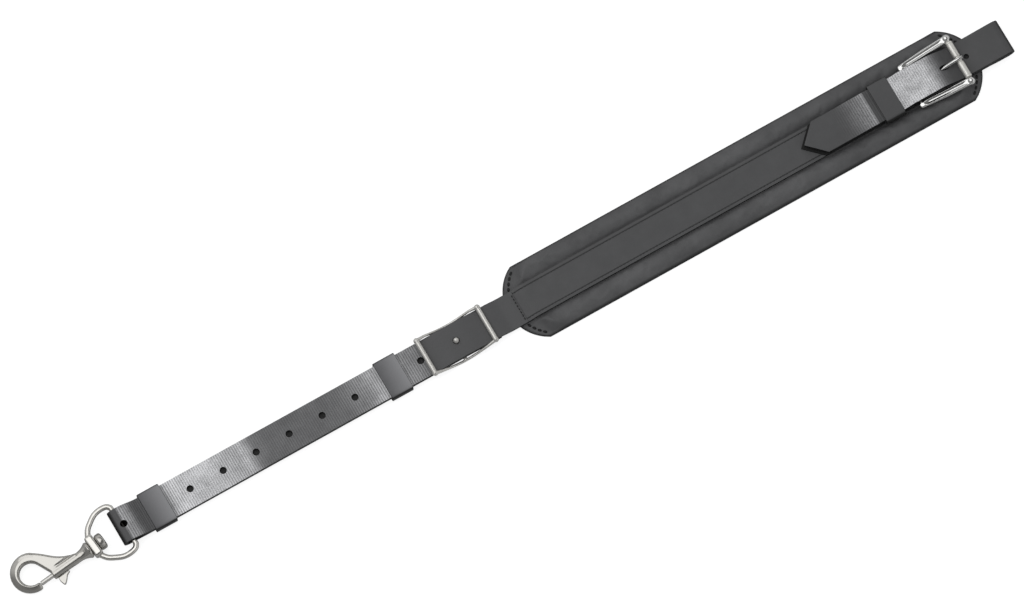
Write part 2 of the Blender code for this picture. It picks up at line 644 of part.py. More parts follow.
def make_collar_strap():
    """The strap sewn along the pad, its collar loop and the billet that it ends in."""
    shoulder_in = PAD_END_X - PAD_HEM - PAD_SHOULDER
    hem = PAD_END_X - PAD_HEM
    high = LOOP_LOW + STRAP_THICKNESS + LOOP_HEIGHT
    radius = (high - LOOP_LOW) / 2
    fold_x = COLLAR_END_X - STRAP_THICKNESS / 2 - radius
    in_keeper = CHAPE_IN_KEEPER + CHAPE_TO_BILLET
    floating = CHAPE_HIGH + CHAPE_TO_BILLET + BILLET_FLOAT
    slot_half = BUCKLE_FRONT_X - ROLLER_DIAMETER / 2 - TONGUE_SLOT_X
    route = over_shoulder(-1, -PAD_SEAM_X - CLEARANCE, shoulder_in, 5)
    route += over_shoulder(1, shoulder_in, hem)
    route += ramp(PAD_END_X + STRAP_THICKNESS, over_pad(PAD_LENGTH), fold_x - LOOP_FLAT, LOOP_LOW)
    route += arc((fold_x, LOOP_LOW + radius), radius, -90, 90, 10)
    route += ramp(fold_x - ROUTE_STEP, high, BUCKLE_FRONT_X + ROLLER_DIAMETER, BILLET_UNDER_ROLLER)
    route += ramp(
        TONGUE_SLOT_X + slot_half, BILLET_UNDER_ROLLER, TONGUE_SLOT_X - slot_half, BILLET_OVER_HEEL, 10
    )
    route += ramp(HEEL_X - 1.5 * HEEL_RADIUS, BILLET_OVER_HEEL, KEEPER_FRONT_X, in_keeper, 6)
    route += ramp(KEEPER_REAR_X, in_keeper, BILLET_SHOULDER_X + BILLET_FLAT, floating, 6)
    route.append((BILLET_SHOULDER_X, floating))
    piece = strap("collar_strap", route, STRAP_THICKNESS, BLACK, 0.42, end_point=BILLET_POINT)
    low = CENTRE_STRAP_TOP + CLEARANCE
    top = BILLET_OVER_HEEL + STRAP_THICKNESS
    slot = holes("tongue_slot", [TONGUE_SLOT_X], low, top, TONGUE_SLOT_WIDTH / 2, 16)
    slot.data.transform(Matrix.Translation((-TONGUE_SLOT_X, 0, 0)))
    slot.data.transform(Matrix.Scale(TONGUE_SLOT_LENGTH / TONGUE_SLOT_WIDTH, 4, (1, 0, 0)))
    slot.data.transform(Matrix.Translation((TONGUE_SLOT_X, 0, 0)))
    combine(piece, slot, "DIFFERENCE")
    spare_x = TONGUE_SLOT_X + BILLET_HOLE_PITCH
    spare = holes("billet_hole", [spare_x], low, top, BILLET_HOLE / 2)
    combine(piece, spare, "DIFFERENCE")


def make_chape():
    """The thin leather turned round the buckle's heel bar, slotted for the tongue."""
    route = [(CHAPE_SHOULDER_X, CHAPE_LOW)]
    route += arc((HEEL_X, HEEL_Z), HEEL_RADIUS, -90, 90, 10)
    route += ramp(HEEL_X - 0.5 * HEEL_RADIUS, HEEL_Z + HEEL_RADIUS, KEEPER_FRONT_X, CHAPE_IN_KEEPER, 6)
    route += ramp(KEEPER_REAR_X, CHAPE_IN_KEEPER, KEEPER_REAR_X - CHAPE_FALL, CHAPE_HIGH, 5)
    route.append((CHAPE_SHOULDER_X + CHAPE_STEP, CHAPE_HIGH))
    piece = strap(
        "buckle_chape", route, CHAPE_THICKNESS, BLACK, 0.5,
        start_point=BILLET_POINT, end_point=BILLET_POINT,
    )
    loop_radius = BUCKLE_BAR / 2 + CLEARANCE + TONGUE_LOOP_WALL
    half_width = TONGUE_LOOP_WIDTH / 2 + CLEARANCE
    rear = HEEL_X - loop_radius - 2 * CLEARANCE
    front = HEEL_X + 2 * HEEL_RADIUS
    low = CENTRE_STRAP_TOP
    high = HEEL_Z + HEEL_RADIUS + CHAPE_THICKNESS
    size = (front - rear, 2 * half_width, high - low)
    slot = block("chape_slot", size, ((front + rear) / 2, 0, (high + low) / 2))
    combine(piece, tool("chape_slot", slot), "DIFFERENCE")


def make_keepers():
    """Two sliding keepers on the lower strap and the fixed one at the buckle."""
    room = STRAP_WIDTH / 2 + CLEARANCE
    for name, x in (("upper_keeper", UPPER_KEEPER_X), ("lower_keeper", LOWER_KEEPER_X)):
        keeper(
            name, x, KEEPER_WIDTH, room, 0, KEEPER_WALL + 2 * STRAP_THICKNESS + 3 * CLEARANCE,
            KEEPER_WALL, (0.03, 0.03, 0.031), 0.45,
        )
    keeper(
        "fixed_keeper", FIXED_KEEPER_X, FIXED_KEEPER_WIDTH, STRAP_WIDTH / 2 + FIXED_KEEPER_ROOM,
        KEEPER_FLOOR, KEEPER_CEILING, FIXED_KEEPER_WALL, (0.024, 0.024, 0.025), 0.5,
    )


# Conway buckle


def make_conway():
    """Frame with two end bars, bowed rails and a centre bar, and the stud riveted in it."""
    span, rail_y = CONWAY_SPAN / 2, CONWAY_RAIL_Y
    low = CONWAY_CENTRE_BAR / 2
    corner = CONWAY_BAR / 2
    points, radii = [], []
    for side in (1, -1):
        rail = []
        for k in range(1, 10):
            x = side * (span - corner) * (1 - 2 * k / 10)
            drop = math.cos(math.pi / 2 * abs(x) / (span - corner)) ** 1.3
            rail.append((x, side * rail_y, CONWAY_BAR_Z + (low - CONWAY_BAR_Z) * drop))
        bar = side * span
        around = [(bar, -side * (rail_y - corner), CONWAY_BAR_Z)]
        around += [(bar, side * (rail_y - corner), CONWAY_BAR_Z)]
        around += [(bar - side * corner * 0.3, side * (rail_y - corner * 0.3), CONWAY_BAR_Z)]
        opposite = (-bar + side * corner * 0.3, side * (rail_y - corner * 0.3), CONWAY_BAR_Z)
        points += around + rail + [opposite]
        radii += [CONWAY_BAR / 2] * 2 + [(CONWAY_BAR + CONWAY_RAIL) / 4]
        radii += [CONWAY_RAIL / 2] * len(rail) + [(CONWAY_BAR + CONWAY_RAIL) / 4]
    ring = tube_mesh("conway_frame", points, radii, cyclic=True)
    frame = add("conway_frame", ring, STEEL, 0.3, 1.0)
    frame.location = (CONWAY_X, 0, 0)
    reach = rail_y - CONWAY_RAIL / 4
    bar = tool("conway_centre_bar", rod_mesh("bar", (0, -reach, low), (0, reach, low), low))
    bar.location = frame.location
    combine(frame, bar, "UNION")
    swollen = CONWAY_BAR + CONWAY_END_SWELL
    ends = [(x, y * (rail_y - corner / 2), CONWAY_BAR_Z, swollen) for x in (span, -span) for y in (1, -1)]
    ends += [(0, y * reach, low, CONWAY_CENTRE_BAR) for y in (1, -1)]
    for x, y, z, diameter in ends:
        end = tool("conway_bar_end", ball_mesh("bar_end", diameter, 14, 8))
        end.location = (CONWAY_X + x, y, z)
        combine(frame, end, "UNION")
    boss = rod_mesh("boss", (0, 0, 0), (0, 0, CONWAY_CENTRE_BAR), CONWAY_BOSS / 2)
    boss = tool("conway_boss", boss)
    boss.location = frame.location
    combine(frame, boss, "UNION")
    foot = STUD_FOOT / 2
    ends = (0, 0, -CUT_PAST), (0, 0, CONWAY_CENTRE_BAR + CUT_PAST)
    hole = rod_mesh("hole", *ends, foot + CLEARANCE / 2)
    hole = tool("conway_rivet_hole", hole)
    hole.location = frame.location
    combine(frame, hole, "DIFFERENCE")
    top = LAYER_HIGH + CONWAY_HUMP + STRAP_THICKNESS / 2 + STUD_RISE
    head = STUD_DIAMETER / 2
    seat = CONWAY_CENTRE_BAR + CLEARANCE
    profile = [(0, top)]
    profile += [(r, top - head + z) for r, z in arc((0, 0), head, 72, 0, 4)]
    profile += [(head, seat), (foot, seat), (foot, STUD_FOOT_INSET), (0, STUD_FOOT_INSET)]
    stud = add("conway_stud", profile_mesh("conway_stud", profile), STEEL, 0.25, 1.0)
    stud.location = (CONWAY_X, 0, 0)
    turned(stud, 16)


# Roller buckle


def make_buckle():
    """Frame, roller and tongue of the collar buckle."""
    pivot = bpy.data.objects.new("buckle_front", None)
    PARTS.objects.link(pivot)
    pivot.location = (BUCKLE_FRONT_X, 0, BUCKLE_FRONT_Z)
    tilt = math.asin((BUCKLE_FRONT_Z - HEEL_Z) / BUCKLE_REACH)
    pivot.rotation_euler = (0, -tilt, 0)

    inner = ROLLER_LENGTH / 2 + CLEARANCE
    outer = inner + ARM_WIDTH
    bar = BUCKLE_BAR / 2
    heel_inner = STRAP_WIDTH / 2 + 2 * CLEARANCE
    heel_outer = heel_inner + ARM_HEEL_WIDTH
    end_round = ARM_WIDTH / 3
    toe_round = ARM_HEEL_WIDTH / 2.5
    front, rear = bar + ARM_PAST_BAR, -BUCKLE_REACH - bar - ARM_PAST_BAR
    outline = arc((front - end_round, outer - end_round), end_round, 90, 0, 3)
    outline += [(front, inner), (-BUCKLE_REACH / 2, inner - 0.4 * (inner - heel_inner)), (rear, heel_inner)]
    outline += arc((rear + toe_round, heel_outer - toe_round), toe_round, 180, 90, 3)
    outline += [(-BUCKLE_REACH / 2, outer - 0.3 * (outer - heel_outer))]
    frame = add("buckle_frame", prism("buckle_frame", outline, ARM_THICKNESS / 2), BRIGHT, 0.12, 1.0, pivot)
    bevel(frame, ARM_BEVEL, 2, 50)
    other = [(x, -y) for x, y in reversed(outline)]
    arm = tool("buckle_arm", prism("buckle_arm", other, ARM_THICKNESS / 2), pivot)
    bevel(arm, ARM_BEVEL, 2, 50)
    combine(frame, arm, "UNION")
    for side in (1, -1):
        knob = tool("knob", ball_mesh("knob", KNOB_DIAMETER), pivot)
        knob.location = (0, side * (outer - KNOB_DIAMETER / 2 + ARM_PAST_BAR), 0)
        combine(frame, knob, "UNION")
    for name, x, reach in (("front_bar", 0, inner), ("heel_bar", -BUCKLE_REACH, heel_inner)):
        reach += ARM_HEEL_WIDTH / 2
        mesh = rod_mesh(name, (x, -reach, 0), (x, reach, 0), bar, 20)
        combine(frame, tool(name, mesh, pivot), "UNION")

    bore = ROLLER_BORE / 2
    half, waist = ROLLER_LENGTH / 2, ROLLER_WAIST_LENGTH / 2
    outside, inside = ROLLER_DIAMETER / 2, ROLLER_WAIST / 2
    edge = ROLLER_EDGE
    profile = [(outside - edge, half), (outside, half - edge), (outside, waist + edge)]
    profile += [(inside, waist), (inside, -waist), (outside, -waist - edge)]
    profile += [(outside, edge - half), (outside - edge, -half), (bore, -half), (bore, half)]
    mesh = profile_mesh("buckle_roller", profile, closed=True)
    roller = add("buckle_roller", mesh, STEEL, 0.25, 1.0, pivot)
    roller.rotation_euler = (math.radians(-90), 0, 0)
    turned(roller, 28)
    make_tongue(bar + CLEARANCE)


def make_tongue(eye):
    """The tongue: an eye round the heel bar and a prong up through the billet to the roller."""
    outer = eye + TONGUE_LOOP_WALL
    wire = TONGUE_WIRE / 2
    waist_top = BUCKLE_FRONT_Z - HEEL_Z + ROLLER_WAIST / 2 + CLEARANCE
    slot_x = TONGUE_SLOT_X - HEEL_X
    slot_z = (BILLET_UNDER_ROLLER + BILLET_OVER_HEEL) / 2 - HEEL_Z
    tip = wire * 0.75
    knots = [
        (eye + TONGUE_LOOP_WALL / 2, 0, 0),
        (slot_x * 0.45, 0, -wire * 0.7),
        (slot_x * 0.78, 0, -wire * 0.3),
        (slot_x, 0, slot_z),
        (BUCKLE_REACH - ROLLER_DIAMETER, 0, (slot_z + waist_top + wire) / 2 + wire / 2),
        (BUCKLE_REACH, 0, waist_top + tip + CLEARANCE / 3),
        (BUCKLE_REACH + TONGUE_TIP_PAST, 0, waist_top + tip),
    ]
    line = smooth_line(knots, 3)
    radii = [wire - (wire - tip) * smooth_step(k / (len(line) - 1)) for k in range(len(line))]
    prong = tool("tongue_prong", tube_mesh("tongue_prong", line, radii, resolution=2))
    prong.location = (HEEL_X, 0, HEEL_Z)
    prong.scale = (1, TONGUE_FLATNESS, 1)
    half = TONGUE_LOOP_WIDTH / 2
    profile = [(outer, half), (outer, -half), (eye, -half), (eye, half)]
    mesh = profile_mesh("buckle_tongue", profile, closed=True)
    tongue = add("buckle_tongue", mesh, BRIGHT, 0.15, 1.0)
    tongue.location = (HEEL_X, 0, HEEL_Z)
    tongue.rotation_euler = (math.radians(-90), 0, 0)
    turned(tongue, 24)
    combine(tongue, prong, "UNION")


# Swivel snap


def along_snap(piece):
    """Lays a turned piece's Z axis along the snap."""
    piece.rotation_euler = (0, math.radians(90), 0)
    return piece


def make_eye(pivot):
    """The snap's D-shaped eye: a bar for the strap, a bow and the bored boss."""
    wire = EYE_WIRE / 2
    middle = BOSS_NEAR + BOSS_LENGTH / 2
    half = [
        (0, EYE_BAR_HALF),
        (wire, EYE_SHOULDER - 0.4 * wire),
        (BOSS_NEAR * 0.3, EYE_SHOULDER),
        (BOSS_NEAR * 0.55, EYE_SHOULDER * 0.965),
        (BOSS_NEAR * 0.8, EYE_SHOULDER * 0.81),
        (BOSS_NEAR, EYE_SHOULDER * 0.635),
        (middle, BOSS_WIDTH / 2 - 0.4 * wire),
    ]
    line = smooth_line([(x, y, 0) for x, y in half], 3)
    line = [(x, -y, z) for x, y, z in reversed(line)] + [tuple(p) for p in line]
    ring = tube_mesh("snap_eye", line, [wire] * len(line))
    eye = add("snap_eye", ring, STEEL, 0.22, 1.0, pivot)
    size = (BOSS_LENGTH, BOSS_WIDTH, BOSS_HEIGHT)
    boss = tool("eye_boss", block("eye_boss", size, (middle, 0, 0)), pivot)
    bevel(boss, BOSS_LENGTH / 4, 2)
    combine(eye, boss, "UNION")
    bore = POST_DIAMETER / 2 + CLEARANCE
    ends = (BOSS_NEAR - wire, 0, 0), (BOSS_NEAR + BOSS_LENGTH + wire, 0, 0)
    combine(eye, tool("eye_bore", rod_mesh("eye_bore", *ends, bore, 24), pivot), "DIFFERENCE")


def make_post(pivot):
    """The headed post on which the snap turns in its eye."""
    head, post = BUTTON_DIAMETER / 2, POST_DIAMETER / 2
    near = BOSS_NEAR - CLEARANCE
    far = FLARE_X + POST_SOCKET
    back = near - BUTTON_LENGTH
    edge = BUTTON_LENGTH / 4
    profile = [(0, far), (post, far), (post, near), (head - edge / 2, near)]
    profile += [(head, near - edge / 2), (head, back + edge), (head - edge, back), (0, back)]
    mesh = profile_mesh("swivel_post", profile)
    turned(along_snap(add("swivel_post", mesh, STEEL, 0.2, 1.0, pivot)), 28)


def hook_outline():
    """Outline of the hook, from the barrel round the ring to the nose and back round the eyelet."""
    barrel = BARREL_DIAMETER / 2
    start = BARREL_START
    top = RING_CENTRE[0] + RING_RADIUS * math.cos(math.radians(HOOK_BACK_ANGLE))
    side = RING_CENTRE[1] + RING_RADIUS * math.sin(math.radians(HOOK_BACK_ANGLE))
    span, rise = top - start, side - barrel
    back = [(start, barrel - CLEARANCE), (start + 0.2 * span, barrel + 0.07 * rise)]
    back += [(start + 0.4 * span, barrel + 0.22 * rise), (start + 0.57 * span, barrel + 0.42 * rise)]
    back += [(start + 0.76 * span, barrel + 0.7 * rise), (top, side)]
    outline = [tuple(p) for p in smooth_line(back, 2)]
    below = math.degrees(math.asin((NOSE_TIP - RING_CENTRE[0]) / RING_RADIUS))
    outline += arc(RING_CENTRE, RING_RADIUS, HOOK_BACK_ANGLE, -90 + below, 20)[1:]
    inner_start = -90 + math.degrees(math.asin((NOSE_TIP - EYELET_CENTRE[0]) / EYELET_RADIUS))
    point = Vector((BARREL_MOUTH, BOLT_DIAMETER / 2 + 2 * CLEARANCE))
    away = point - Vector(EYELET_CENTRE)
    tangent = math.degrees(math.atan2(away.y, away.x)) % 360
    tangent -= math.degrees(math.acos(EYELET_RADIUS / away.length))
    outline += arc(EYELET_CENTRE, EYELET_RADIUS, inner_start, tangent, 18)
    outline += [tuple(point), (BARREL_MOUTH, -barrel / 3), (start, -barrel / 3)]
    return [(x, -y) for x, y in outline]


def make_body(pivot):
    """The snap's body: flare, barrel and hook, bored for the bolt and slotted for its thumb piece."""
    flare, barrel = FLARE_DIAMETER / 2, BARREL_DIAMETER / 2
    edge = TURNED_EDGE
    profile = [(0, BARREL_MOUTH), (barrel - edge, BARREL_MOUTH), (barrel, BARREL_MOUTH - edge)]
    profile += [(barrel, BARREL_START)]
    neck = BARREL_START - FLARE_RIM
    for t in (0.25, 0.5, 0.75):
        profile.append((barrel + (flare - barrel) * t**2, BARREL_START - neck * t))
    profile += [(flare, FLARE_RIM), (flare - edge, FLARE_X), (0, FLARE_X)]
    body = add("snap_body", profile_mesh("snap_body", profile), STEEL, 0.22, 1.0, pivot)
    turned(along_snap(body), 28)
    hook = tool("snap_hook", prism("snap_hook", hook_outline(), HOOK_THICKNESS / 2), pivot)
    bevel(hook, HOOK_ROUNDING, 3, 60)
    combine(body, hook, "UNION")
    socket = POST_DIAMETER / 2 + CLEARANCE
    ends = (FLARE_X - edge, 0, 0), (FLARE_X + POST_SOCKET + CLEARANCE, 0, 0)
    combine(body, tool("post_socket", rod_mesh("post_socket", *ends, socket, 20), pivot), "DIFFERENCE")
    ends = (BORE_START, 0, 0), (BARREL_MOUTH + edge, 0, 0)
    combine(body, tool("bolt_bore", rod_mesh("bolt_bore", *ends, BORE_RADIUS, 20), pivot), "DIFFERENCE")
    shank = THUMB_SHANK / 2 + CLEARANCE
    front, rear = SHANK_X + shank, SHANK_X - BOLT_TRAVEL - shank
    size = (front - rear, 2 * barrel, 2 * shank)
    slot = block("thumb_slot", size, ((front + rear) / 2, barrel, 0))
    combine(body, tool("thumb_slot", slot, pivot), "DIFFERENCE")


def make_bolt(pivot):
    """The sliding bolt and its thumb piece."""
    radius = BOLT_DIAMETER / 2
    edge = BOLT_EDGE
    profile = [(0, BOLT_TIP), (radius - edge, BOLT_TIP), (radius, BOLT_TIP - edge)]
    profile += [(radius, BOLT_REAR + edge), (radius - edge, BOLT_REAR), (0, BOLT_REAR)]
    bolt = add("snap_bolt", profile_mesh("snap_bolt", profile), STEEL, 0.2, 1.0, pivot)
    turned(along_snap(bolt), 20)
    shank = THUMB_SHANK / 2
    depth = -radius / 3
    ends = (SHANK_X, depth - CLEARANCE, 0), (SHANK_X, 2 * radius, 0)
    mesh = rod_mesh("shank_hole", *ends, shank + CLEARANCE / 2, 12)
    combine(bolt, tool("shank_hole", mesh, pivot), "DIFFERENCE")

    base = BARREL_DIAMETER / 2 + CLEARANCE
    reach = THUMB_REACH - base
    tab = [(-THUMB_TAIL, 0), (0.95 * THUMB_FRONT, 0), (THUMB_FRONT, 0.45), (0.8 * THUMB_FRONT, 0.92)]
    tab += [(0.55 * THUMB_FRONT, 1), (0, 0.76), (-THUMB_TAIL / 2, 0.3), (-THUMB_TAIL, 0.12)]
    outline = [(SHANK_X + x, base + reach * height) for x, height in tab]
    thumb = add("bolt_thumb", prism("bolt_thumb", outline, THUMB_THICKNESS / 2), STEEL, 0.22, 1.0, pivot)
    bevel(thumb, THUMB_EDGE, 2, 30)
    mesh = rod_mesh("shank", (SHANK_X, depth, 0), (SHANK_X, base + reach / 4, 0), shank, 12)
    combine(thumb, tool("thumb_shank", mesh, pivot), "UNION")


def make_spring(pivot):
    """The coil spring that pushes the bolt out. Its least gap to itself is measured and printed."""
    wire = SPRING_WIRE / 2
    coil = BORE_RADIUS - CLEARANCE - wire
    start, end = BORE_START + CLEARANCE + wire, BOLT_REAR - CLEARANCE - wire
    count = SPRING_TURNS * SPRING_COIL_STEPS
    points = []
    for k in range(count + 1):
        angle = 2 * math.pi * k / SPRING_COIL_STEPS
        x = start + (end - start) * k / count
        points.append(Vector((x, coil * math.cos(angle), coil * math.sin(angle))))
    mesh = tube_mesh("bolt_spring", points, [wire] * len(points), resolution=1)
    add("bolt_spring", mesh, (0.5, 0.5, 0.5), 0.3, 1.0, pivot)
    half_turn = SPRING_COIL_STEPS // 2
    least = min(
        (a - b).length for k, a in enumerate(points) for b in points[k + half_turn:]
    )
    print(f"Spring: least gap between its turns {(least - SPRING_WIRE) / MM:.2f} mm")


def make_snap():
    """The swivel snap, hung on the strap by the bar of its eye."""
    pivot = bpy.data.objects.new("snap_bar", None)
    PARTS.objects.link(pivot)
    pivot.location = (SNAP_BAR_X, 0, SNAP_BAR_Z)
    pivot.rotation_euler = (0, SNAP_PITCH, math.pi + SNAP_YAW)
    make_eye(pivot)
    make_post(pivot)
    make_body(pivot)
    make_bolt(pivot)
    make_spring(pivot)


make_pad()
make_adjusting_strap()
make_collar_strap()
make_chape()
make_keepers()
make_conway()
make_buckle()
make_snap()
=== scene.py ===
"""Looks of a false martingale for a driving harness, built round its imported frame.

The pad, the straps and their keepers are modelled again in leather, with their stitches, and the
buckles and the snap in steel. The scene is in metres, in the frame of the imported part: the
origin is the middle of the pad's underside, +X runs to the collar loop, +Y across and +Z up.
Sizes and places are given here in millimetres, and MM turns them into metres.
"""

import logging
import math
from collections.abc import Callable, Iterator, Sequence
from contextlib import contextmanager
from dataclasses import dataclass
from enum import Enum

import bmesh
import bpy
import numpy as np
from mathutils import Euler, Matrix, Vector


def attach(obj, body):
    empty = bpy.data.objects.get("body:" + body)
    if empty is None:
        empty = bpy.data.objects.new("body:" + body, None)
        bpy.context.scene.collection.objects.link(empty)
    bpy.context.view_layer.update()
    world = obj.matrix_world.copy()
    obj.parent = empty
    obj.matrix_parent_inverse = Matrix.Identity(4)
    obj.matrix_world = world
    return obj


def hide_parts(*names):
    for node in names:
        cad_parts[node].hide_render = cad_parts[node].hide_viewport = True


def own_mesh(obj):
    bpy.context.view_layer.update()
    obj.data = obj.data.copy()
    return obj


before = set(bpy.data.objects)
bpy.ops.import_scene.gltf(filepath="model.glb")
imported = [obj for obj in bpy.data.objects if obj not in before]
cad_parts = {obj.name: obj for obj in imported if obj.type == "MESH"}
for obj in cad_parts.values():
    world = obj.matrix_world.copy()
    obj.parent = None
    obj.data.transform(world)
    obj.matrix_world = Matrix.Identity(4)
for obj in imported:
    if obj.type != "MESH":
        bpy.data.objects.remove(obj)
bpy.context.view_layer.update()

MM = 0.001
STRAP = 2.8  # thickness of the harness strap
WELD = 0.001  # corners closer than this are one
LATHE_STEPS = 56  # faces round a turned piece
ROUTE_STEP = 0.5  # between the points of a drawn route
FLAT_MAP = "strap"  # the map, in metres, of a strap before it is bent
WAVE_PERIOD = 2 * math.pi / 20  # of a wave texture at scale 1
logger = logging.getLogger("false_martingale")

Point = tuple[float, float]
Triple = tuple[float, float, float]
Sockets = dict[str | int, object]
Piece = bpy.types.Object
Node = bpy.types.Node
NodeTree = bpy.types.NodeTree


class Drawn(Enum):
    """How a route is drawn, with the turn about X that lays a piece out for it."""

    FROM_THE_SIDE = -90
    FROM_ABOVE = 0


class Lie(Enum):
    """What a spot tells of how a strap lies."""

    SLOPE = "slope"
    RIB = "rib"
    SHINE = "shine"


# Tools of the bench


def free_all() -> None:
    """Leaves edit mode and deselects every object."""
    if bpy.context.mode != "OBJECT":
        bpy.ops.object.mode_set(mode="OBJECT")
    bpy.ops.object.select_all(action="DESELECT")


def take(piece: Piece) -> None:
    """Selects one object alone and makes it active.

    Args:
        piece: the object.
    """
    free_all()
    piece.select_set(True)
    bpy.context.view_layer.objects.active = piece


def named(name: str) -> Piece:
    """Names the object that an operator has just added, and its mesh.

    Args:
        name: the name of both.

    Returns:
        The object.
    """
    piece = bpy.context.object
    piece.name = name
    piece.data.name = name
    return piece


@contextmanager
def shaping(piece: Piece) -> Iterator[None]:
    """Opens a piece in edit mode, all of it selected, and closes it again.

    Args:
        piece: the piece to shape.

    Yields:
        Nothing: the operators act on the piece.
    """
    take(piece)
    bpy.ops.object.mode_set(mode="EDIT")
    bpy.ops.mesh.select_all(action="SELECT")
    yield
    bpy.ops.object.mode_set(mode="OBJECT")


def pick_corners(test: Callable[[Vector], bool]) -> None:
    """Selects corners of the piece in edit mode by their place.

    Args:
        test: gets the place of each corner and says whether it is selected.
    """
    bpy.context.tool_settings.mesh_select_mode = (True, False, False)
    bpy.ops.mesh.select_all(action="DESELECT")
    mesh = bpy.context.edit_object.data
    for corner in bmesh.from_edit_mesh(mesh).verts:
        if test(corner.co):
            corner.select_set(True)
    bmesh.update_edit_mesh(mesh, loop_triangles=False)


def close_up(fill: bool = False) -> None:
    """Merges the doubles of the piece in edit mode and turns its faces outward.

    Args:
        fill: whether its open ends are filled.
    """
    bpy.ops.mesh.select_all(action="SELECT")
    bpy.ops.mesh.remove_doubles(threshold=WELD * MM)
    if fill:
        bpy.ops.mesh.fill_holes(sides=0)
    bpy.ops.mesh.select_all(action="SELECT")
    bpy.ops.mesh.normals_make_consistent(inside=False)


def put(x: float = 0, y: float = 0, z: float = 0, turn: float = 0, axis: str = "Z") -> Matrix:
    """A place in millimetres, after a turn in degrees."""
    return Matrix.Translation((x * MM, y * MM, z * MM)) @ Matrix.Rotation(math.radians(turn), 4, axis)


def settle(piece: Piece, place: Matrix | None = None) -> Piece:
    """Moves a piece to its place and puts that place into its mesh.

    Args:
        piece: the piece to settle.
        place: where it goes; it stays where it is without one.

    Returns:
        The same piece.
    """
    take(piece)
    if place is not None:
        piece.matrix_world = place @ piece.matrix_world
    bpy.ops.object.transform_apply(location=True, rotation=True, scale=True)
    return piece


def finish_with(piece: Piece, kind: str, **settings: object) -> None:
    """Adds one modifier and applies it.

    Args:
        piece: the piece that it changes.
        kind: the modifier's type.
        **settings: its properties.
    """
    take(piece)
    step = piece.modifiers.new(kind.lower(), kind)
    for name, value in settings.items():
        setattr(step, name, value)
    bpy.ops.object.modifier_apply(modifier=step.name)


def round_edges(piece: Piece, width: float, angle: float = 60, segments: int = 2) -> None:
    """Rounds the edges of a piece that are sharper than an angle.

    Args:
        piece: the piece.
        width: how far they are rounded.
        angle: in degrees.
        segments: faces across the rounding.
    """
    limit = {"limit_method": "ANGLE", "angle_limit": math.radians(angle)}
    finish_with(piece, "BEVEL", width=width * MM, segments=segments, **limit)


def remove(thing: Piece) -> None:
    """Deletes a helper that is no longer needed."""
    bpy.data.objects.remove(thing, do_unlink=True)


def smooth(piece: Piece, angle: float = 40) -> None:
    """Shades a piece smooth, except at edges sharper than an angle in degrees."""
    take(piece)
    bpy.ops.object.shade_smooth_by_angle(angle=math.radians(angle))


def joined(name: str, pieces: Sequence[Piece]) -> Piece:
    """Makes one piece of several.

    Args:
        name: its name.
        pieces: what it is made of, one or more.

    Returns:
        The piece.
    """
    free_all()
    for piece in pieces:
        piece.select_set(True)
    bpy.context.view_layer.objects.active = pieces[0]
    if len(pieces) > 1:
        bpy.ops.object.join()
    return named(name)


def turned(name: str, profile: Sequence[Point], edge: float = 0.2) -> Piece:
    """Turns a piece on the lathe, round the Z axis.

    Args:
        name: its name.
        profile: (radius, height) pairs down its outside.
        edge: how far its sharp edges are rounded.

    Returns:
        The turned piece, closed.
    """
    free_all()
    bpy.ops.mesh.primitive_plane_add(size=MM)
    piece = named(name)
    with shaping(piece):
        bpy.ops.mesh.merge(type="CENTER")
        bpy.ops.transform.translate(value=(profile[0][0] * MM, 0, profile[0][1] * MM))
        for (r0, z0), (r1, z1) in zip(profile, profile[1:]):
            step = ((r1 - r0) * MM, 0, (z1 - z0) * MM)
            bpy.ops.mesh.extrude_region_move(TRANSFORM_OT_translate={"value": step})
        bpy.ops.mesh.select_all(action="SELECT")
        bpy.ops.mesh.spin(steps=LATHE_STEPS, angle=2 * math.pi, center=(0, 0, 0), axis=(0, 0, 1))
        close_up()
    round_edges(piece, edge, 35)
    smooth(piece, 35)
    return piece


def install(
    piece: Piece, body: str, finish: "Finish", replaces: str = ""
) -> Piece:
    """Gives a piece its finish and its body, and reports it.

    Args:
        piece: the finished shape.
        body: the CAD body that it rides on.
        finish: how it looks.
        replaces: the CAD node that it stands for, if any.

    Returns:
        The same piece.
    """
    piece.data.materials.clear()
    piece.data.materials.append(finish.material())
    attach(piece, body)
    if replaces:
        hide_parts(replaces)
    logger.info("%s: %d faces, rides on %s", piece.name, len(piece.data.polygons), body)
    return piece


# Side views that a strap follows


def smooth_step(t: float) -> float:
    """0 to 1 with level ends."""
    t = min(1.0, max(0.0, t))
    return t * t * (3 - 2 * t)


def ramp(start: Point, end: Point, steps: int = 24) -> list[Point]:
    """A change of height that is level at both ends."""
    (x0, z0), (x1, z1) = start, end
    return [(x0 + (x1 - x0) * k / steps, z0 + (z1 - z0) * smooth_step(k / steps)) for k in range(steps + 1)]


def arc(centre: Point, radius: float, start: float, end: float, steps: int = 32) -> list[Point]:
    """Points of an arc, with its angles in degrees."""
    angles = [math.radians(start + (end - start) * k / steps) for k in range(steps + 1)]
    return [(centre[0] + radius * math.cos(a), centre[1] + radius * math.sin(a)) for a in angles]


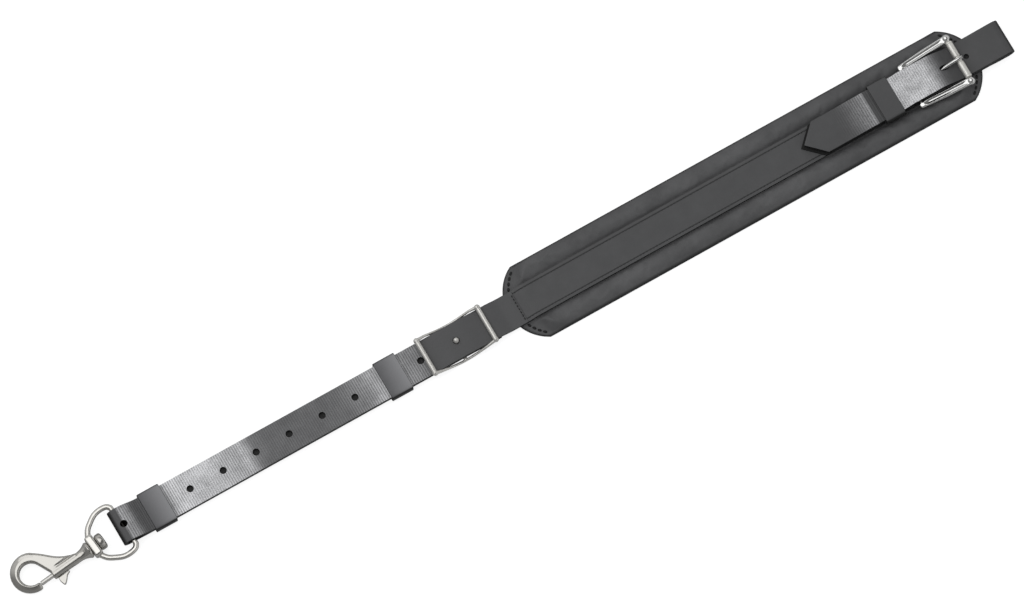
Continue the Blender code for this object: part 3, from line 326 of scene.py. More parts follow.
@dataclass(frozen=True)
class Route:
    """Where the middle of a strap runs, as (along, height) pairs.

    A strap is made flat, with X along it from its start, Y across it and Z out of its face, and is
    then bent along its route. Its face is on the left of the route's direction.
    """

    points: Sequence[Point]

    def reach(self) -> np.ndarray:
        """Distance along the route at each of its points."""
        steps = np.hypot(*np.diff(np.array(self.points), axis=0).T)
        return np.concatenate([[0.0], np.cumsum(steps)])

    @property
    def length(self) -> float:
        """Length of the whole route."""
        return float(self.reach()[-1])

    def at(self, x: float, last: bool = False) -> float:
        """Distance along the route at which it first, or last, passes a place.

        Args:
            x: the place.
            last: True for the last time that the route passes it.

        Returns:
            The distance from the route's start.
        """
        found = []
        for (a, b), reach in zip(zip(self.points, self.points[1:]), self.reach()):
            if min(a[0], b[0]) <= x <= max(a[0], b[0]) and a[0] != b[0]:
                found.append(reach + math.dist(a, b) * (x - a[0]) / (b[0] - a[0]))
        return found[-1 if last else 0]

    def curve(self) -> Piece:
        """Draws the route as a flat curve with evenly spaced points.

        Returns:
            The curve, in metres.
        """
        count = max(2, round(self.length / ROUTE_STEP))
        along = np.linspace(0, self.length, count + 1)
        x, z = (np.interp(along, self.reach(), axis) for axis in np.array(self.points).T)
        drawn = bpy.data.curves.new("route", "CURVE")
        drawn.dimensions = "2D"
        line = drawn.splines.new("POLY")
        line.points.add(count)
        for point, px, pz in zip(line.points, x * MM, z * MM):
            point.co = (px, pz, 0, 1)
        holder = bpy.data.objects.new("route", drawn)
        bpy.context.scene.collection.objects.link(holder)
        return holder

    def bend(self, piece: Piece, drawn: Drawn = Drawn.FROM_THE_SIDE) -> None:
        """Bends a flat piece along the route and leaves its place in its mesh.

        Args:
            piece: the flat piece.
            drawn: how the route is drawn.
        """
        holder = self.curve()
        settle(piece, put(turn=drawn.value, axis="X"))
        finish_with(piece, "CURVE", object=holder, deform_axis="POS_X")
        settle(piece, put(turn=-drawn.value, axis="X"))
        remove(holder)


# Finishes


def linear(code: str) -> tuple[float, float, float, float]:
    """Turns an sRGB hex colour into the linear one that a shader takes."""
    channels = [int(code[k:k + 2], 16) / 255 for k in (1, 3, 5)]
    return (*[c / 12.92 if c <= 0.04045 else ((c + 0.055) / 1.055) ** 2.4 for c in channels], 1.0)


def node(
    tree: NodeTree, kind: str, settings: Sockets, stops: Sequence[tuple[float, float | str]] = ()
) -> Node:
    """Adds one node with its settings and links.

    Args:
        tree: the nodes of a material or of the world.
        kind: the node's type, without the words ShaderNode.
        settings: its properties by name, and its sockets by name or number. A socket takes a value,
            another socket, or a node, of which the first live output is linked.
        stops: for a colour ramp, places from 0 to 1, each with a grey value or a hex colour.

    Returns:
        The new node.
    """
    made = tree.nodes.new("ShaderNode" + kind)
    for name, value in settings.items():
        if isinstance(value, Node):
            value = next(output for output in value.outputs if output.enabled)
        if isinstance(value, bpy.types.NodeSocket):
            tree.links.new(value, made.inputs[name])
        elif isinstance(name, str) and hasattr(made, name):
            setattr(made, name, value)
        else:
            made.inputs[name].default_value = value
    if stops:
        elements = made.color_ramp.elements
        while len(elements) < len(stops):
            elements.new(1.0)
        for element, (place, value) in zip(elements, sorted(stops)):
            element.position = place
            element.color = linear(value) if isinstance(value, str) else (value, value, value, 1.0)
    return made


def cells(size: float) -> float:
    """The scale of a pattern whose cells are a size across, in millimetres."""
    return 1 / (size * MM)


def cleared(owner: bpy.types.Material | bpy.types.World) -> NodeTree:
    """Empties the nodes of a material or of the world.

    Args:
        owner: the material or the world.

    Returns:
        Its nodes.
    """
    owner.use_nodes = True
    owner.node_tree.nodes.clear()
    return owner.node_tree


def dyed_edges_and_side_shade(tree: NodeTree, colour: Node) -> Node:
    """Blackens every face of a flat piece that turns sideways: the dye on its cut edges, and painted shade on
    the sides of its folds and loops.

    Args:
        tree: the material's nodes.
        colour: the colour of its face.

    Returns:
        The colour with its black edges.
    """
    facing = node(tree, "SeparateXYZ", {0: node(tree, "TexCoord", {}).outputs["Normal"]})
    level = node(tree, "Math", {"operation": "ABSOLUTE", 0: facing.outputs["Z"]})
    # black where it faces up by less than 0.62, and its face's own colour from 0.92
    edge = node(tree, "MapRange", {0: level, 1: 0.62, 2: 0.92, 3: 1.0, 4: 0.0})
    return node(tree, "Mix", {"data_type": "RGBA", 0: edge, 6: colour, 7: linear("#0b0b0b")})


@dataclass(frozen=True)
class Finish:
    """A finish: its name, its colour and how it shines. Subclasses add its texture."""

    name: str
    colour: str
    roughness: float

    def material(self) -> bpy.types.Material:
        """Makes the material of this finish, once.

        Returns:
            The material.
        """
        found = bpy.data.materials.get(self.name)
        if found:
            return found
        made = bpy.data.materials.new(self.name)
        tree = cleared(made)
        skin = {"Base Color": linear(self.colour), "Roughness": self.roughness} | self.dress(tree)
        node(tree, "OutputMaterial", {"Surface": node(tree, "BsdfPrincipled", skin)})
        return made

    def dress(self, tree: NodeTree) -> Sockets:
        """Adds the texture, of which a plain finish has none."""
        return {}


@dataclass(frozen=True)
class Leather(Finish):
    """Smooth leather: a fine grain, faint clouds in the dye, a soft wax shine, edges blackened with dye and
    painted shade on faces that turn sideways, and on some a painted highlight.
    """

    grain: float = 0.9  # between the bumps of the grain; a third of it on the real leather, too fine to show
    depth: float = 0.25
    cloud: float = 26.316  # across the clouds in the dye
    worn_dye_and_sheen_spread: str = "#5a5a5b"  # colour where the dye is thin
    rim: float = 0.0  # width of the blackened edge, on a piece with the attribute "rim"
    dyed_and_side_shaded: bool = False  # whether its faces that turn sideways are blackened: dye on the cut edges, and painted shade on the sides of folds and loops
    painted_sheen: float = 0.0  # half the width over which a painted highlight grows lighter towards one side
    painted_sheen_colour: str = "#8a8a8c"

    def dress(self, tree: NodeTree) -> Sockets:
        """Adds grain, clouded dye, a painted highlight towards one side, a slightly uneven shine, and the
        edge dye with painted shade on sideways faces.

        Args:
            tree: the material's nodes.

        Returns:
            What the shader's sockets take.
        """
        place = node(tree, "TexCoord", {}).outputs["Object"]
        mottle = {"Scale": cells(self.cloud), "Detail": 4.0, "Roughness": 0.6, "Vector": place}
        clouds = node(tree, "TexNoise", mottle)
        colour = node(tree, "ValToRGB", {"Fac": clouds}, ((0.35, self.colour), (0.95, self.worn_dye_and_sheen_spread)))
        # painted highlight: lighter towards one side of the flat strip
        if self.painted_sheen:
            flat = node(tree, "SeparateXYZ", {0: node(tree, "UVMap", {"uv_map": FLAT_MAP})})
            half = self.painted_sheen * MM
            share = node(tree, "MapRange", {0: flat.outputs["Y"], 1: -half, 2: half, 3: 1.0, 4: 0.0})
            light = linear(self.painted_sheen_colour)
            colour = node(tree, "Mix", {"data_type": "RGBA", 0: share, 6: colour, 7: light})
        # black on faces that turn sideways: dye on the cut edges, and painted shade on the sides of folds and
        # loops
        if self.dyed_and_side_shaded:
            colour = dyed_edges_and_side_shade(tree, colour)
        if self.rim:
            inward = node(tree, "Attribute", {"attribute_name": "rim"}).outputs["Fac"]
            edge = node(tree, "MapRange", {0: inward, 1: 0.2, 2: self.rim, 3: 1.0, 4: 0.0})
            colour = node(tree, "Mix", {"data_type": "RGBA", 0: edge, 6: colour, 7: linear("#0c0c0c")})
        pores = node(tree, "TexVoronoi", {"Scale": cells(self.grain), "Vector": place})
        dull, shiny = self.roughness + 0.07, self.roughness - 0.05
        return {
            "Base Color": colour,
            "Roughness": node(tree, "MapRange", {0: clouds, 3: shiny, 4: dull}),
            "Normal": node(tree, "Bump", {"Strength": self.depth, "Distance": 0.1 * MM, "Height": pores}),
        }


@dataclass(frozen=True)
class Spot:
    """How a strap lies at one place along it. Between two spots it changes evenly."""

    place: float
    slope: float = 0.0  # degrees that the strap waves up towards its end
    rib: float = 0.0  # how far the ribs stand out, 0 to 1
    shine: float = 0.0  # how much highlight is painted on the coat, 0 to 1, which also makes it glossier


@dataclass(frozen=True)
class RibbedStrap(Finish):
    """Coated harness strap: the weave shows through the coat as fine ribs across the strap.

    The ribs stand out where the strap hasn't been pressed flat, with painted shade between them, and a
    highlight is painted on the coat, which is glossier there, where its spots give it shine.
    """

    lie: Sequence[Spot] = ()
    shade_painted_to: float = 0.0  # up to here the strap lies under itself and is painted black as shade
    pitch: float = 2.06  # from rib to rib
    depth: float = 0.3  # that the ribs stand out
    wave: float = 10.0  # height in the whole ramp of the long waves
    grit: float = 0.9091  # across the coat's grit, which is finer on the real strap, too fine to show
    cloud: float = 16.667  # across the clouds in the coat
    # colour of the painted highlight
    bright: str = "#e2e2e4"
    worn_dye_and_sheen_spread: str = "#4c4c4d"
    crease: float = 0.0  # from the middle to the stitched creases
    crease_end: float = 0.0  # where these creases end
    samples: int = 400  # places that are looked at for a ramp
    most_stops: int = 32  # that a ramp may have

    def along(self, tree: NodeTree, place: Node, value: Lie) -> Node:
        """One value of the spots, as a ramp along the strap.

        Args:
            tree: the material's nodes.
            place: 0 to 1 from the first to the last spot.
            value: which one; the slope gives the height of the long waves.

        Returns:
            The ramp.
        """
        first, last = self.lie[0].place, self.lie[-1].place
        places = np.linspace(first, last, self.samples)
        values = np.interp(places, [s.place for s in self.lie], [getattr(s, value.value) for s in self.lie])
        if value is Lie.SLOPE:
            values = 0.5 + np.cumsum(np.tan(np.radians(values)) * (places[1] - places[0]) / self.wave)
        picked = [0, self.samples - 1]
        while len(picked) < self.most_stops:  # they go where straight lines between them miss most
            known = sorted(set(picked))
            picked.append(int(np.argmax(np.abs(np.interp(places, places[known], values[known]) - values))))
        stops = [((places[k] - first) / (last - first), float(values[k])) for k in sorted(set(picked))]
        return node(tree, "ValToRGB", {"Fac": place}, stops)

    def dress(self, tree: NodeTree) -> Sockets:
        """Adds the waves, the ribs, which follow the strap by its own map, and the clouded coat.

        Args:
            tree: the material's nodes.

        Returns:
            What the shader's sockets take.
        """
        flat = node(tree, "UVMap", {"uv_map": FLAT_MAP})
        place = node(tree, "TexCoord", {}).outputs["Object"]
        split = node(tree, "SeparateXYZ", {0: flat})
        along, across = split.outputs["X"], split.outputs["Y"]
        here = node(tree, "MapRange", {0: along, 1: self.lie[0].place * MM, 2: self.lie[-1].place * MM})
        painted_sheen = self.along(tree, here, Lie.SHINE)
        standing = self.along(tree, here, Lie.RIB)
        weave = {"Scale": WAVE_PERIOD * cells(self.pitch), "Distortion": 0.7, "Detail": 2.0}
        ribs = node(tree, "TexWave", weave | {"Detail Scale": 3.0, "Vector": flat}).outputs["Fac"]
        raised = node(tree, "Math", {"operation": "MULTIPLY", 0: ribs, 1: standing})
        speckle = {"Scale": cells(self.grit), "Detail": 2.0, "Roughness": 0.7, "Vector": place}
        mottle = {"Scale": cells(self.cloud), "Detail": 5.0, "Roughness": 0.65, "Vector": place}
        grit = node(tree, "TexNoise", speckle)
        clouds = node(tree, "TexNoise", mottle)
        colour = node(tree, "ValToRGB", {"Fac": clouds}, ((0.35, self.colour), (0.95, self.worn_dye_and_sheen_spread)))

        # painted shade between the ribs
        valley = node(tree, "MapRange", {0: ribs, 3: 0.45, 4: 0.0})
        rib_shade = node(tree, "Math", {"operation": "MULTIPLY", 0: valley, 1: standing})
        colour = node(tree, "Mix", {"data_type": "RGBA", 0: rib_shade, 6: colour, 7: linear("#1b1b1c")})

        # painted highlight on the ribs and the grit, more in some patches than in others; the same ramp makes
        # the coat glossier
        crests = node(tree, "Math", {"operation": "MULTIPLY_ADD", 0: grit, 1: 2.6, 2: raised})
        spread = node(tree, "MapRange", {0: crests, 1: 0.9, 2: 2.3, 3: 0.2, 4: 1.15})
        patchy = node(tree, "MapRange", {0: clouds, 1: 0.35, 2: 0.6, 3: 0.75, 4: 1.2})
        worn_dye_and_sheen_spread = node(tree, "Math", {"operation": "MULTIPLY", 0: spread, 1: patchy})
        uneven = node(tree, "Math", {"operation": "MULTIPLY", 0: painted_sheen, 1: worn_dye_and_sheen_spread})
        colour = node(tree, "Mix", {"data_type": "RGBA", 0: uneven, 6: colour, 7: linear(self.bright)})
        gloss = node(tree, "MapRange", {0: painted_sheen, 3: self.roughness, 4: self.roughness - 0.25})

        height = self.along(tree, here, Lie.SLOPE)
        waves = node(tree, "Bump", {"Strength": 1.0, "Distance": self.wave * MM, "Height": height})
        relief = {"Strength": 1.0, "Distance": self.depth * MM, "Height": raised, "Normal": waves}
        normal = node(tree, "Bump", relief)
        # black on faces that turn sideways: dye on the cut edges, and painted shade on the fronts of folds
        colour = dyed_edges_and_side_shade(tree, colour)
        # painted shade: black where the strap lies under itself, up to the fold
        if self.shade_painted_to:
            under = node(tree, "Math", {"operation": "LESS_THAN", 0: along, 1: self.shade_painted_to * MM})
            colour = node(tree, "Mix", {"data_type": "RGBA", 0: under, 6: colour, 7: linear("#080808")})
        # painted shade: dark along the stitched creases, which are pressed in only as a bump
        if self.crease:
            sideways = node(tree, "Math", {"operation": "ABSOLUTE", 0: across})
            off = node(tree, "Math", {"operation": "SUBTRACT", 0: sideways, 1: self.crease * MM})
            near = node(tree, "Math", {"operation": "ABSOLUTE", 0: off})
            pressed = node(tree, "MapRange", {0: near, 1: 0.0, 2: 0.6 * MM, 3: 0.75, 4: 0.0})
            sewn = node(tree, "Math", {"operation": "LESS_THAN", 0: along, 1: self.crease_end * MM})
            line = node(tree, "Math", {"operation": "MULTIPLY", 0: pressed, 1: sewn})
            colour = node(tree, "Mix", {"data_type": "RGBA", 0: line, 6: colour, 7: linear("#141414")})
            groove = {"invert": True, "Strength": 1.0, "Distance": 0.5 * MM, "Height": line, "Normal": normal}
            normal = node(tree, "Bump", groove)
        grain = node(tree, "Bump", {"Strength": 0.25, "Distance": 0.1 * MM, "Height": grit, "Normal": normal})
        return {"Base Color": colour, "Roughness": gloss, "Normal": grain}


@dataclass(frozen=True)
class Steel(Finish):
    """Stainless steel, from polished to tumbled: a metal with a barely uneven polish."""

    scratch: float = 0.03
    grain: float = 0.8  # across the grain of the finish, which is finer on the real steel, too fine to show
    patch: float = 5.5556  # across the patches of its polish
    fold_shade: tuple[float, float] = (0.0, 0.0)  # where shade is painted under the strap's fold: X from, and half its Y

    def dress(self, tree: NodeTree) -> Sockets:
        """Adds metal, uneven polish, fine scratches and the painted shade under the strap's fold.

        Args:
            tree: the material's nodes.

        Returns:
            What the shader's sockets take.
        """
        place = node(tree, "TexCoord", {}).outputs["Object"]
        patches = node(tree, "TexNoise", {"Scale": cells(self.patch), "Detail": 4.0, "Vector": place})
        grit = node(tree, "TexNoise", {"Scale": cells(self.grain), "Detail": 2.0, "Vector": place})
        best, worst = 0.8 * self.roughness, 1.25 * self.roughness
        skin = {
            "Metallic": 1.0,
            "Roughness": node(tree, "MapRange", {0: patches, 3: best, 4: worst}),
            "Normal": node(tree, "Bump", {"Strength": self.scratch, "Distance": 0.05 * MM, "Height": grit}),
        }
        # painted shade: the bar is darkened where the strap's fold lies over it
        if self.fold_shade[1]:
            split = node(tree, "SeparateXYZ", {0: place})
            start, half = self.fold_shade[0] * MM, self.fold_shade[1] * MM
            under = node(tree, "MapRange", {0: split.outputs["X"], 1: start, 2: start + MM})
            sideways = node(tree, "Math", {"operation": "ABSOLUTE", 0: split.outputs["Y"]})
            inside = node(tree, "MapRange", {0: sideways, 1: half - MM, 2: half, 3: 1.0, 4: 0.0})
            share = node(tree, "Math", {"operation": "MULTIPLY", 0: under, 1: inside})
            dye = {"data_type": "RGBA", 0: share, 6: linear(self.colour), 7: linear("#1c1b1a")}
            skin["Base Color"] = node(tree, "Mix", dye)
        return skin


@dataclass(frozen=True)
class Thread(Finish):
    """Waxed linen thread, twisted from three strands."""

    twist: float = 0.7  # from strand to strand
    lean: float = 35.0  # degrees that the strands lean

    def dress(self, tree: NodeTree) -> Sockets:
        """Adds the twist.

        Args:
            tree: the material's nodes.

        Returns:
            What the shader's sockets take.
        """
        place = node(tree, "TexCoord", {}).outputs["Object"]
        slant = node(tree, "Mapping", {"Rotation": (0, 0, math.radians(self.lean)), "Vector": place})
        strands = node(tree, "TexWave", {"Scale": WAVE_PERIOD * cells(self.twist), "Vector": slant})
        height = strands.outputs["Fac"]
        return {"Normal": node(tree, "Bump", {"Strength": 0.5, "Distance": 0.1 * MM, "Height": height})}


# Waxed harness leather over the padding: a low, wide shine and a blackened rim.
PAD_LEATHER = Leather("pad_leather", "#484849", 0.62, worn_dye_and_sheen_spread="#5e5e5f", rim=2.4)
# Split lining leather: dull, with a coarser grain.
LINING_LEATHER = Leather("lining_leather", "#2a2a2b", 0.8, grain=1.4)
# Pressed wool felt: a rough surface without shine.
FELT_FILLING = Leather("felt_filling", "#444444", 0.95, grain=2.0, depth=0.6)
# Thin black leather turned round the heel bar: painted nearly black for the shade that it lies in.
CHAPE_LEATHER = Leather("chape_leather", "#070707", 0.75, worn_dye_and_sheen_spread="#101010", dyed_and_side_shaded=True)
# Waxed leather of the sliding keepers: a painted highlight that grows lighter towards one side, and black
# sideways faces: dye on the cut edges, painted shade on the loop's sides.
SLIDING_LEATHER = Leather(
    "sliding_keeper_leather", "#4f4f51", 0.5, worn_dye_and_sheen_spread="#626264", dyed_and_side_shaded=True, painted_sheen=9.85, painted_sheen_colour="#828284"
)
# The same leather on the fixed keeper, without the painted highlight: an even dark grey, with black sideways
# faces.
FIXED_LEATHER = Leather("fixed_keeper_leather", "#444445", 0.6, worn_dye_and_sheen_spread="#4e4e4f", dyed_and_side_shaded=True)
# Satin stainless steel: light all over, with soft, wide highlights.
SATIN_STEEL = Steel("satin_steel", "#e6e4df", 0.42)
# Drawn steel tube: the palest of the steels, with hardly any highlight.
TUBE_STEEL = Steel("drawn_steel_tube", "#f2f1ec", 0.5)
# Polished stainless steel: hard dark and bright bands.
POLISHED_STEEL = Steel("polished_steel", "#d6d6d3", 0.12)
# Cast and tumbled stainless steel: greyer, with small highlights on every rounding.
CAST_STEEL = Steel("tumbled_cast_steel", "#c4c2bd", 0.2)
# The same casting with painted shade: its bar is painted dark where the strap's fold lies on it.
FOLD_SHADED_CAST_STEEL = Steel("cast_steel_with_painted_shade_under_the_fold", "#dad8d3", 0.2, fold_shade=(-593.0, 16.0))
# Drawn spring wire: plain grey with a thin highlight along each turn.
SPRING_STEEL = Steel("spring_wire_steel", "#a9a9a9", 0.3)
# Waxed black linen thread: short dark stitches with a dull shine.
BLACK_THREAD = Thread("black_waxed_thread", "#0f0f10", 0.6)
# The same thread greyed by use: a fine row that barely stands out from the strap.
ROW_THREAD = Thread("grey_waxed_thread", "#2e2e2f", 0.55)


# Straps


@dataclass(frozen=True)
class FlatStrap:
    """How one strap is cut before it is bent."""

    name: str
    width: float = 30.0
    thickness: float = STRAP
    edge: float = 0.5
    cell: float = 1.6  # length of its faces, which are half as wide again
    start_point: float = 0.0  # how far its start stands out in a point
    end_point: float = 0.0
    dish: float = 0.0  # how far its long edges stand above its middle
    dish_half: float = 1000.0  # how far from the middle of its length this goes on
    dish_fade: float = 3.0
    holes: Sequence[Triple] = ()  # distance along, length and width of each

    def cut(self, route: Route) -> Piece:
        """Cuts the strap flat, points and punches it, and bends it along its route.

        Args:
            route: where its middle runs.

        Returns:
            The strap.
        """
        start, end = -self.start_point, route.length + self.end_point
        bpy.ops.mesh.primitive_grid_add(
            x_subdivisions=round((end - start) / self.cell),
            y_subdivisions=round(self.width / self.cell / 1.5),
            size=1, location=((start + end) / 2 * MM, 0, 0),
        )
        strap = named(self.name)
        strap.scale = ((end - start) * MM, self.width * MM, 1)
        settle(strap)
        self.map_flat(strap)
        for tip, reach, way in ((start, self.start_point, -1), (end, self.end_point, 1)):
            if reach:
                self.point(strap, tip, reach, way)
        finish_with(strap, "SOLIDIFY", thickness=self.thickness * MM, offset=0)
        self.punch(strap)
        for corner in strap.data.vertices:
            inside = self.dish_half - abs(corner.co.x / MM - route.length / 2)
            rise = self.dish * MM * (2 * corner.co.y / (self.width * MM)) ** 2
            corner.co.z += smooth_step(inside / self.dish_fade) * rise
        round_edges(strap, self.edge, segments=3)
        self.extend(route).bend(settle(strap, put(self.start_point)))
        smooth(strap)
        return strap

    def extend(self, route: Route) -> Route:
        """Draws a route out straight under the strap's points.

        Args:
            route: where the strap's middle runs without its points.

        Returns:
            The longer route.
        """
        (x0, z0), (x1, z1) = route.points[:2]
        (x2, z2), (x3, z3) = route.points[-2:]
        first = self.start_point / math.dist((x0, z0), (x1, z1))
        last = self.end_point / math.dist((x2, z2), (x3, z3))
        points = list(route.points)
        if first:
            points.insert(0, (x0 + (x0 - x1) * first, z0 + (z0 - z1) * first))
        if last:
            points.append((x3 + (x3 - x2) * last, z3 + (z3 - z2) * last))
        return Route(points)

    def map_flat(self, strap: Piece) -> None:
        """Gives the flat strap a map in metres, which the ribs follow after it is bent.

        Args:
            strap: the flat strap, one face thick.
        """
        layer = strap.data.uv_layers[0]
        layer.name = FLAT_MAP
        for loop, spot in zip(strap.data.loops, layer.data):
            spot.uv = strap.data.vertices[loop.vertex_index].co.xy

    def point(self, strap: Piece, tip: float, reach: float, way: int) -> None:
        """Cuts the two corners of one end off, so that it ends in a point.

        Args:
            strap: the flat strap.
            tip: where the point ends.
            reach: how long the point is.
            way: 1 at the strap's end, -1 at its start.
        """
        with shaping(strap):
            for side in (1, -1):
                bpy.ops.mesh.select_all(action="SELECT")
                slope = (way * self.width / 2, side * reach, 0)
                bpy.ops.mesh.bisect(plane_co=(tip * MM, 0, 0), plane_no=slope, clear_outer=True)

    def punch(self, strap: Piece) -> None:
        """Punches the round and long holes.

        Args:
            strap: the flat strap.
        """
        punches = []
        for along, length, width in self.holes:
            size = {"radius": width / 2 * MM, "depth": 4 * self.thickness * MM}
            bpy.ops.mesh.primitive_cylinder_add(vertices=32, location=(along * MM, 0, 0), **size)
            bit = bpy.context.object
            bit.scale.x = length / width
            punches.append(settle(bit))
        if punches:
            bit = joined("punch", punches)
            finish_with(strap, "BOOLEAN", object=bit, operation="DIFFERENCE", solver="EXACT")
            remove(bit)


@dataclass(frozen=True)
class StitchRow:
    """A row of saddle stitches along a route."""

    name: str
    stitch: float = 2.5  # length of one stitch
    gap: float = 0.6
    thread: float = 0.75
    pressed: tuple[float, float] = (1.15, 0.8)  # width and height of a stitch, to its thread
    dip: float = 0.2  # how deep its ends lie, to its thread
    dip_from: float = 0.3  # how far from its middle they begin, to its length

    def sew(
        self, route: Route, start: float, end: float, across: float = 0, lift: float = 0,
        drawn: Drawn = Drawn.FROM_THE_SIDE,
    ) -> Piece:
        """Sews the row: one stitch, whose ends dip into the leather, and its copies.

        Args:
            route: what the row follows.
            start: distance along the route of its first stitch.
            end: distance along the route of its last one.
            across: how far beside the middle it runs.
            lift: how far above the route it lies.
            drawn: how the route is drawn.

        Returns:
            The row, as one piece.
        """
        pitch = self.stitch + self.gap
        bpy.ops.mesh.primitive_uv_sphere_add(segments=8, ring_count=6, radius=self.thread / 2 * MM)
        row = named(self.name)
        settle(row, put(turn=90, axis="Y"))
        row.scale = (self.stitch / self.thread, *self.pressed)
        settle(row)
        with shaping(row):
            pick_corners(lambda place: abs(place.x) > self.dip_from * self.stitch * MM)
            bpy.ops.transform.translate(value=(0, 0, -self.dip * self.thread * MM))
        smooth(row, 80)
        settle(row, put(start + pitch / 2, across, lift))
        finish_with(
            row, "ARRAY", count=max(1, int((end - start) / pitch)), use_relative_offset=False,
            use_constant_offset=True, constant_offset_displace=(pitch * MM, 0, 0),
        )
        route.bend(row, drawn)
        return row


# The pad


@dataclass
class Pad:
    """Cover, filling and lining of the pad."""

    length: float = 447.0
    width: float = 68.0
    bulge: float = 20.5  # how far its rounded ends reach past their corners
    lining: float = 1.5
    cover: float = 1.3
    gap: float = 0.3
    seat: float = 5.5  # height of the cover under the strap
    crown: float = 9.0  # height of the cover beside it
    crown_round: float = 0.7  # 1 is a plain arch, and less is a squarer one
    seat_half: float = 16.0
    hem: float = 8.5  # width of the flat hem at each end
    shoulder: float = 12.0  # length over which it rises from the hem
    hem_stitch: float = 4.0
    hem_gap: float = 0.7
    hem_thread: float = 1.9
    hem_row: float = 5.6  # from the pad's end to the hem's stitches
    hem_lift: float = 0.15
    core_setback: float = 5.0
    core_side: float = 2.2
    sewn: float = 1.5  # width of the sewn edge along its sides
    cover_faces: tuple[int, int] = (240, 56)  # along and across
    core_faces: tuple[int, int] = (160, 36)
    lining_faces: tuple[int, int] = (120, 24)
    sim_frames: int = 20
    swell: float = 0.9  # most that the simulation may move the cover
    landing: float = 2.8  # past its end, where a strap has come to the hem's height

    @property
    def hem_top(self) -> float:
        """Height of the cover at the hem."""
        return self.lining + self.gap + self.cover

    def end(self, y: float) -> float:
        """How far the rounded end reaches at a distance from the middle.

        Args:
            y: the distance.

        Returns:
            The reach from the pad's middle.
        """
        half = self.width / 2
        radius = (half**2 + self.bulge**2) / (2 * self.bulge)
        return self.length / 2 - radius + math.sqrt(radius**2 - min(abs(y), half) ** 2)

    def top(self, x: float, y: float) -> float:
        """Height of the cover: pressed down under the strap, full beside it, flat at the hem.

        Args:
            x: place along the pad.
            y: place across it.

        Returns:
            The height.
        """
        across = max(0.0, (abs(y) - self.seat_half) / (self.width / 2 - self.seat_half))
        puff = self.crown - (self.seat + self.hem_top) / 2
        full = self.seat + (self.hem_top - self.seat) * across
        full += puff * max(0.0, math.sin(math.pi * min(1.0, across))) ** self.crown_round
        inward = self.end(y) - abs(x)
        return self.hem_top + (full - self.hem_top) * smooth_step((inward - self.hem) / self.shoulder)

    def carried(self, x: float) -> Point:
        """The middle of a strap that lies on the cover."""
        return x, self.top(x, 0) + self.gap + STRAP / 2

    def landed(self, way: int) -> Point:
        """The middle of a strap at the hem's height, before one of the ends."""
        return way * (self.length / 2 + self.landing), self.hem_top + self.gap + STRAP / 2

    def sheet(
        self, name: str, height: Callable[[float, float], float], faces: tuple[int, int],
        end_inset: float = 0.0, side_inset: float = 0.0,
    ) -> Piece:
        """A sheet cut to the pad's outline and laid at a height.

        Args:
            name: its name.
            height: its height at each place.
            faces: how many along and across it.
            end_inset: how far inside the rounded ends it stays.
            side_inset: how far inside the long sides it stays.

        Returns:
            The sheet, one face thick, with its distance from the outline as the attribute "rim".
        """
        bpy.ops.mesh.primitive_grid_add(x_subdivisions=faces[0], y_subdivisions=faces[1], size=2)
        piece = named(name)
        rim = piece.data.attributes.new("rim", "FLOAT", "POINT")
        for corner, inward in zip(piece.data.vertices, rim.data):
            y = corner.co.y * (self.width / 2 - side_inset)
            x = corner.co.x * (self.end(y) - end_inset)
            corner.co = (x * MM, y * MM, height(x, y) * MM)
            inward.value = min(self.width / 2 - abs(y), self.end(y) - abs(x))
        return piece

    def puff_up(self, sheet: Piece) -> None:
        """Lets the padding press the cover out between its stitched rows, as cloth.

        Args:
            sheet: the cover, one face thick.
        """
        rest = np.array([corner.co[:] for corner in sheet.data.vertices])
        held = sheet.vertex_groups.new(name="held")
        for corner in sheet.data.vertices:
            x, y = abs(corner.co.x / MM), abs(corner.co.y / MM)
            if y < self.seat_half or y > self.width / 2 - self.sewn or self.end(y) - x < self.hem:
                held.add([corner.index], 1.0, "REPLACE")
        take(sheet)
        cloth = sheet.modifiers.new("cloth", "CLOTH")
        leather = {
            "quality": 6, "mass": 0.15, "tension_stiffness": 8, "compression_stiffness": 8,
            "shear_stiffness": 4, "bending_stiffness": 0.6, "vertex_group_mass": "held",
            "shrink_min": -0.012, "use_pressure": True, "uniform_pressure_force": 4,
        }
        for name, value in leather.items():
            setattr(cloth.settings, name, value)
        cloth.settings.effector_weights.gravity = 0
        cloth.collision_settings.use_collision = False
        for step in range(1, self.sim_frames + 1):
            bpy.context.scene.frame_set(step)
        graph = bpy.context.evaluated_depsgraph_get()
        moved = np.array([corner.co[:] for corner in sheet.evaluated_get(graph).data.vertices])
        sheet.modifiers.remove(cloth)
        bpy.context.scene.frame_set(1)
        shift = moved - rest
        reach = np.linalg.norm(shift, axis=1, keepdims=True)
        shift *= np.minimum(1, self.swell * MM / np.maximum(reach, 1e-9))
        sheet.data.vertices.foreach_set("co", (rest + shift).ravel())

    def declare(self, layer: Piece, node_name: str, finish: Finish) -> None:
        """Smooths and installs one layer.

        Args:
            layer: the finished shape.
            node_name: the CAD node that it stands for.
            finish: how it looks.
        """
        smooth(layer, 50)
        install(layer, "strap", finish, node_name)

    def build(self) -> None:
        """Makes the three layers and the stitches of both hems."""
        cover = self.sheet("pad_cover_skin", self.top, self.cover_faces)
        self.puff_up(cover)
        finish_with(cover, "SOLIDIFY", thickness=self.cover * MM, offset=-1)
        round_edges(cover, 0.35)
        self.declare(cover, "pad_cover", PAD_LEATHER)

        under, inset = self.cover + self.gap, self.hem + self.core_setback
        filling = self.sheet(
            "pad_filling", lambda x, y: self.top(x, y) - under, self.core_faces, inset, self.core_side
        )
        with shaping(filling):
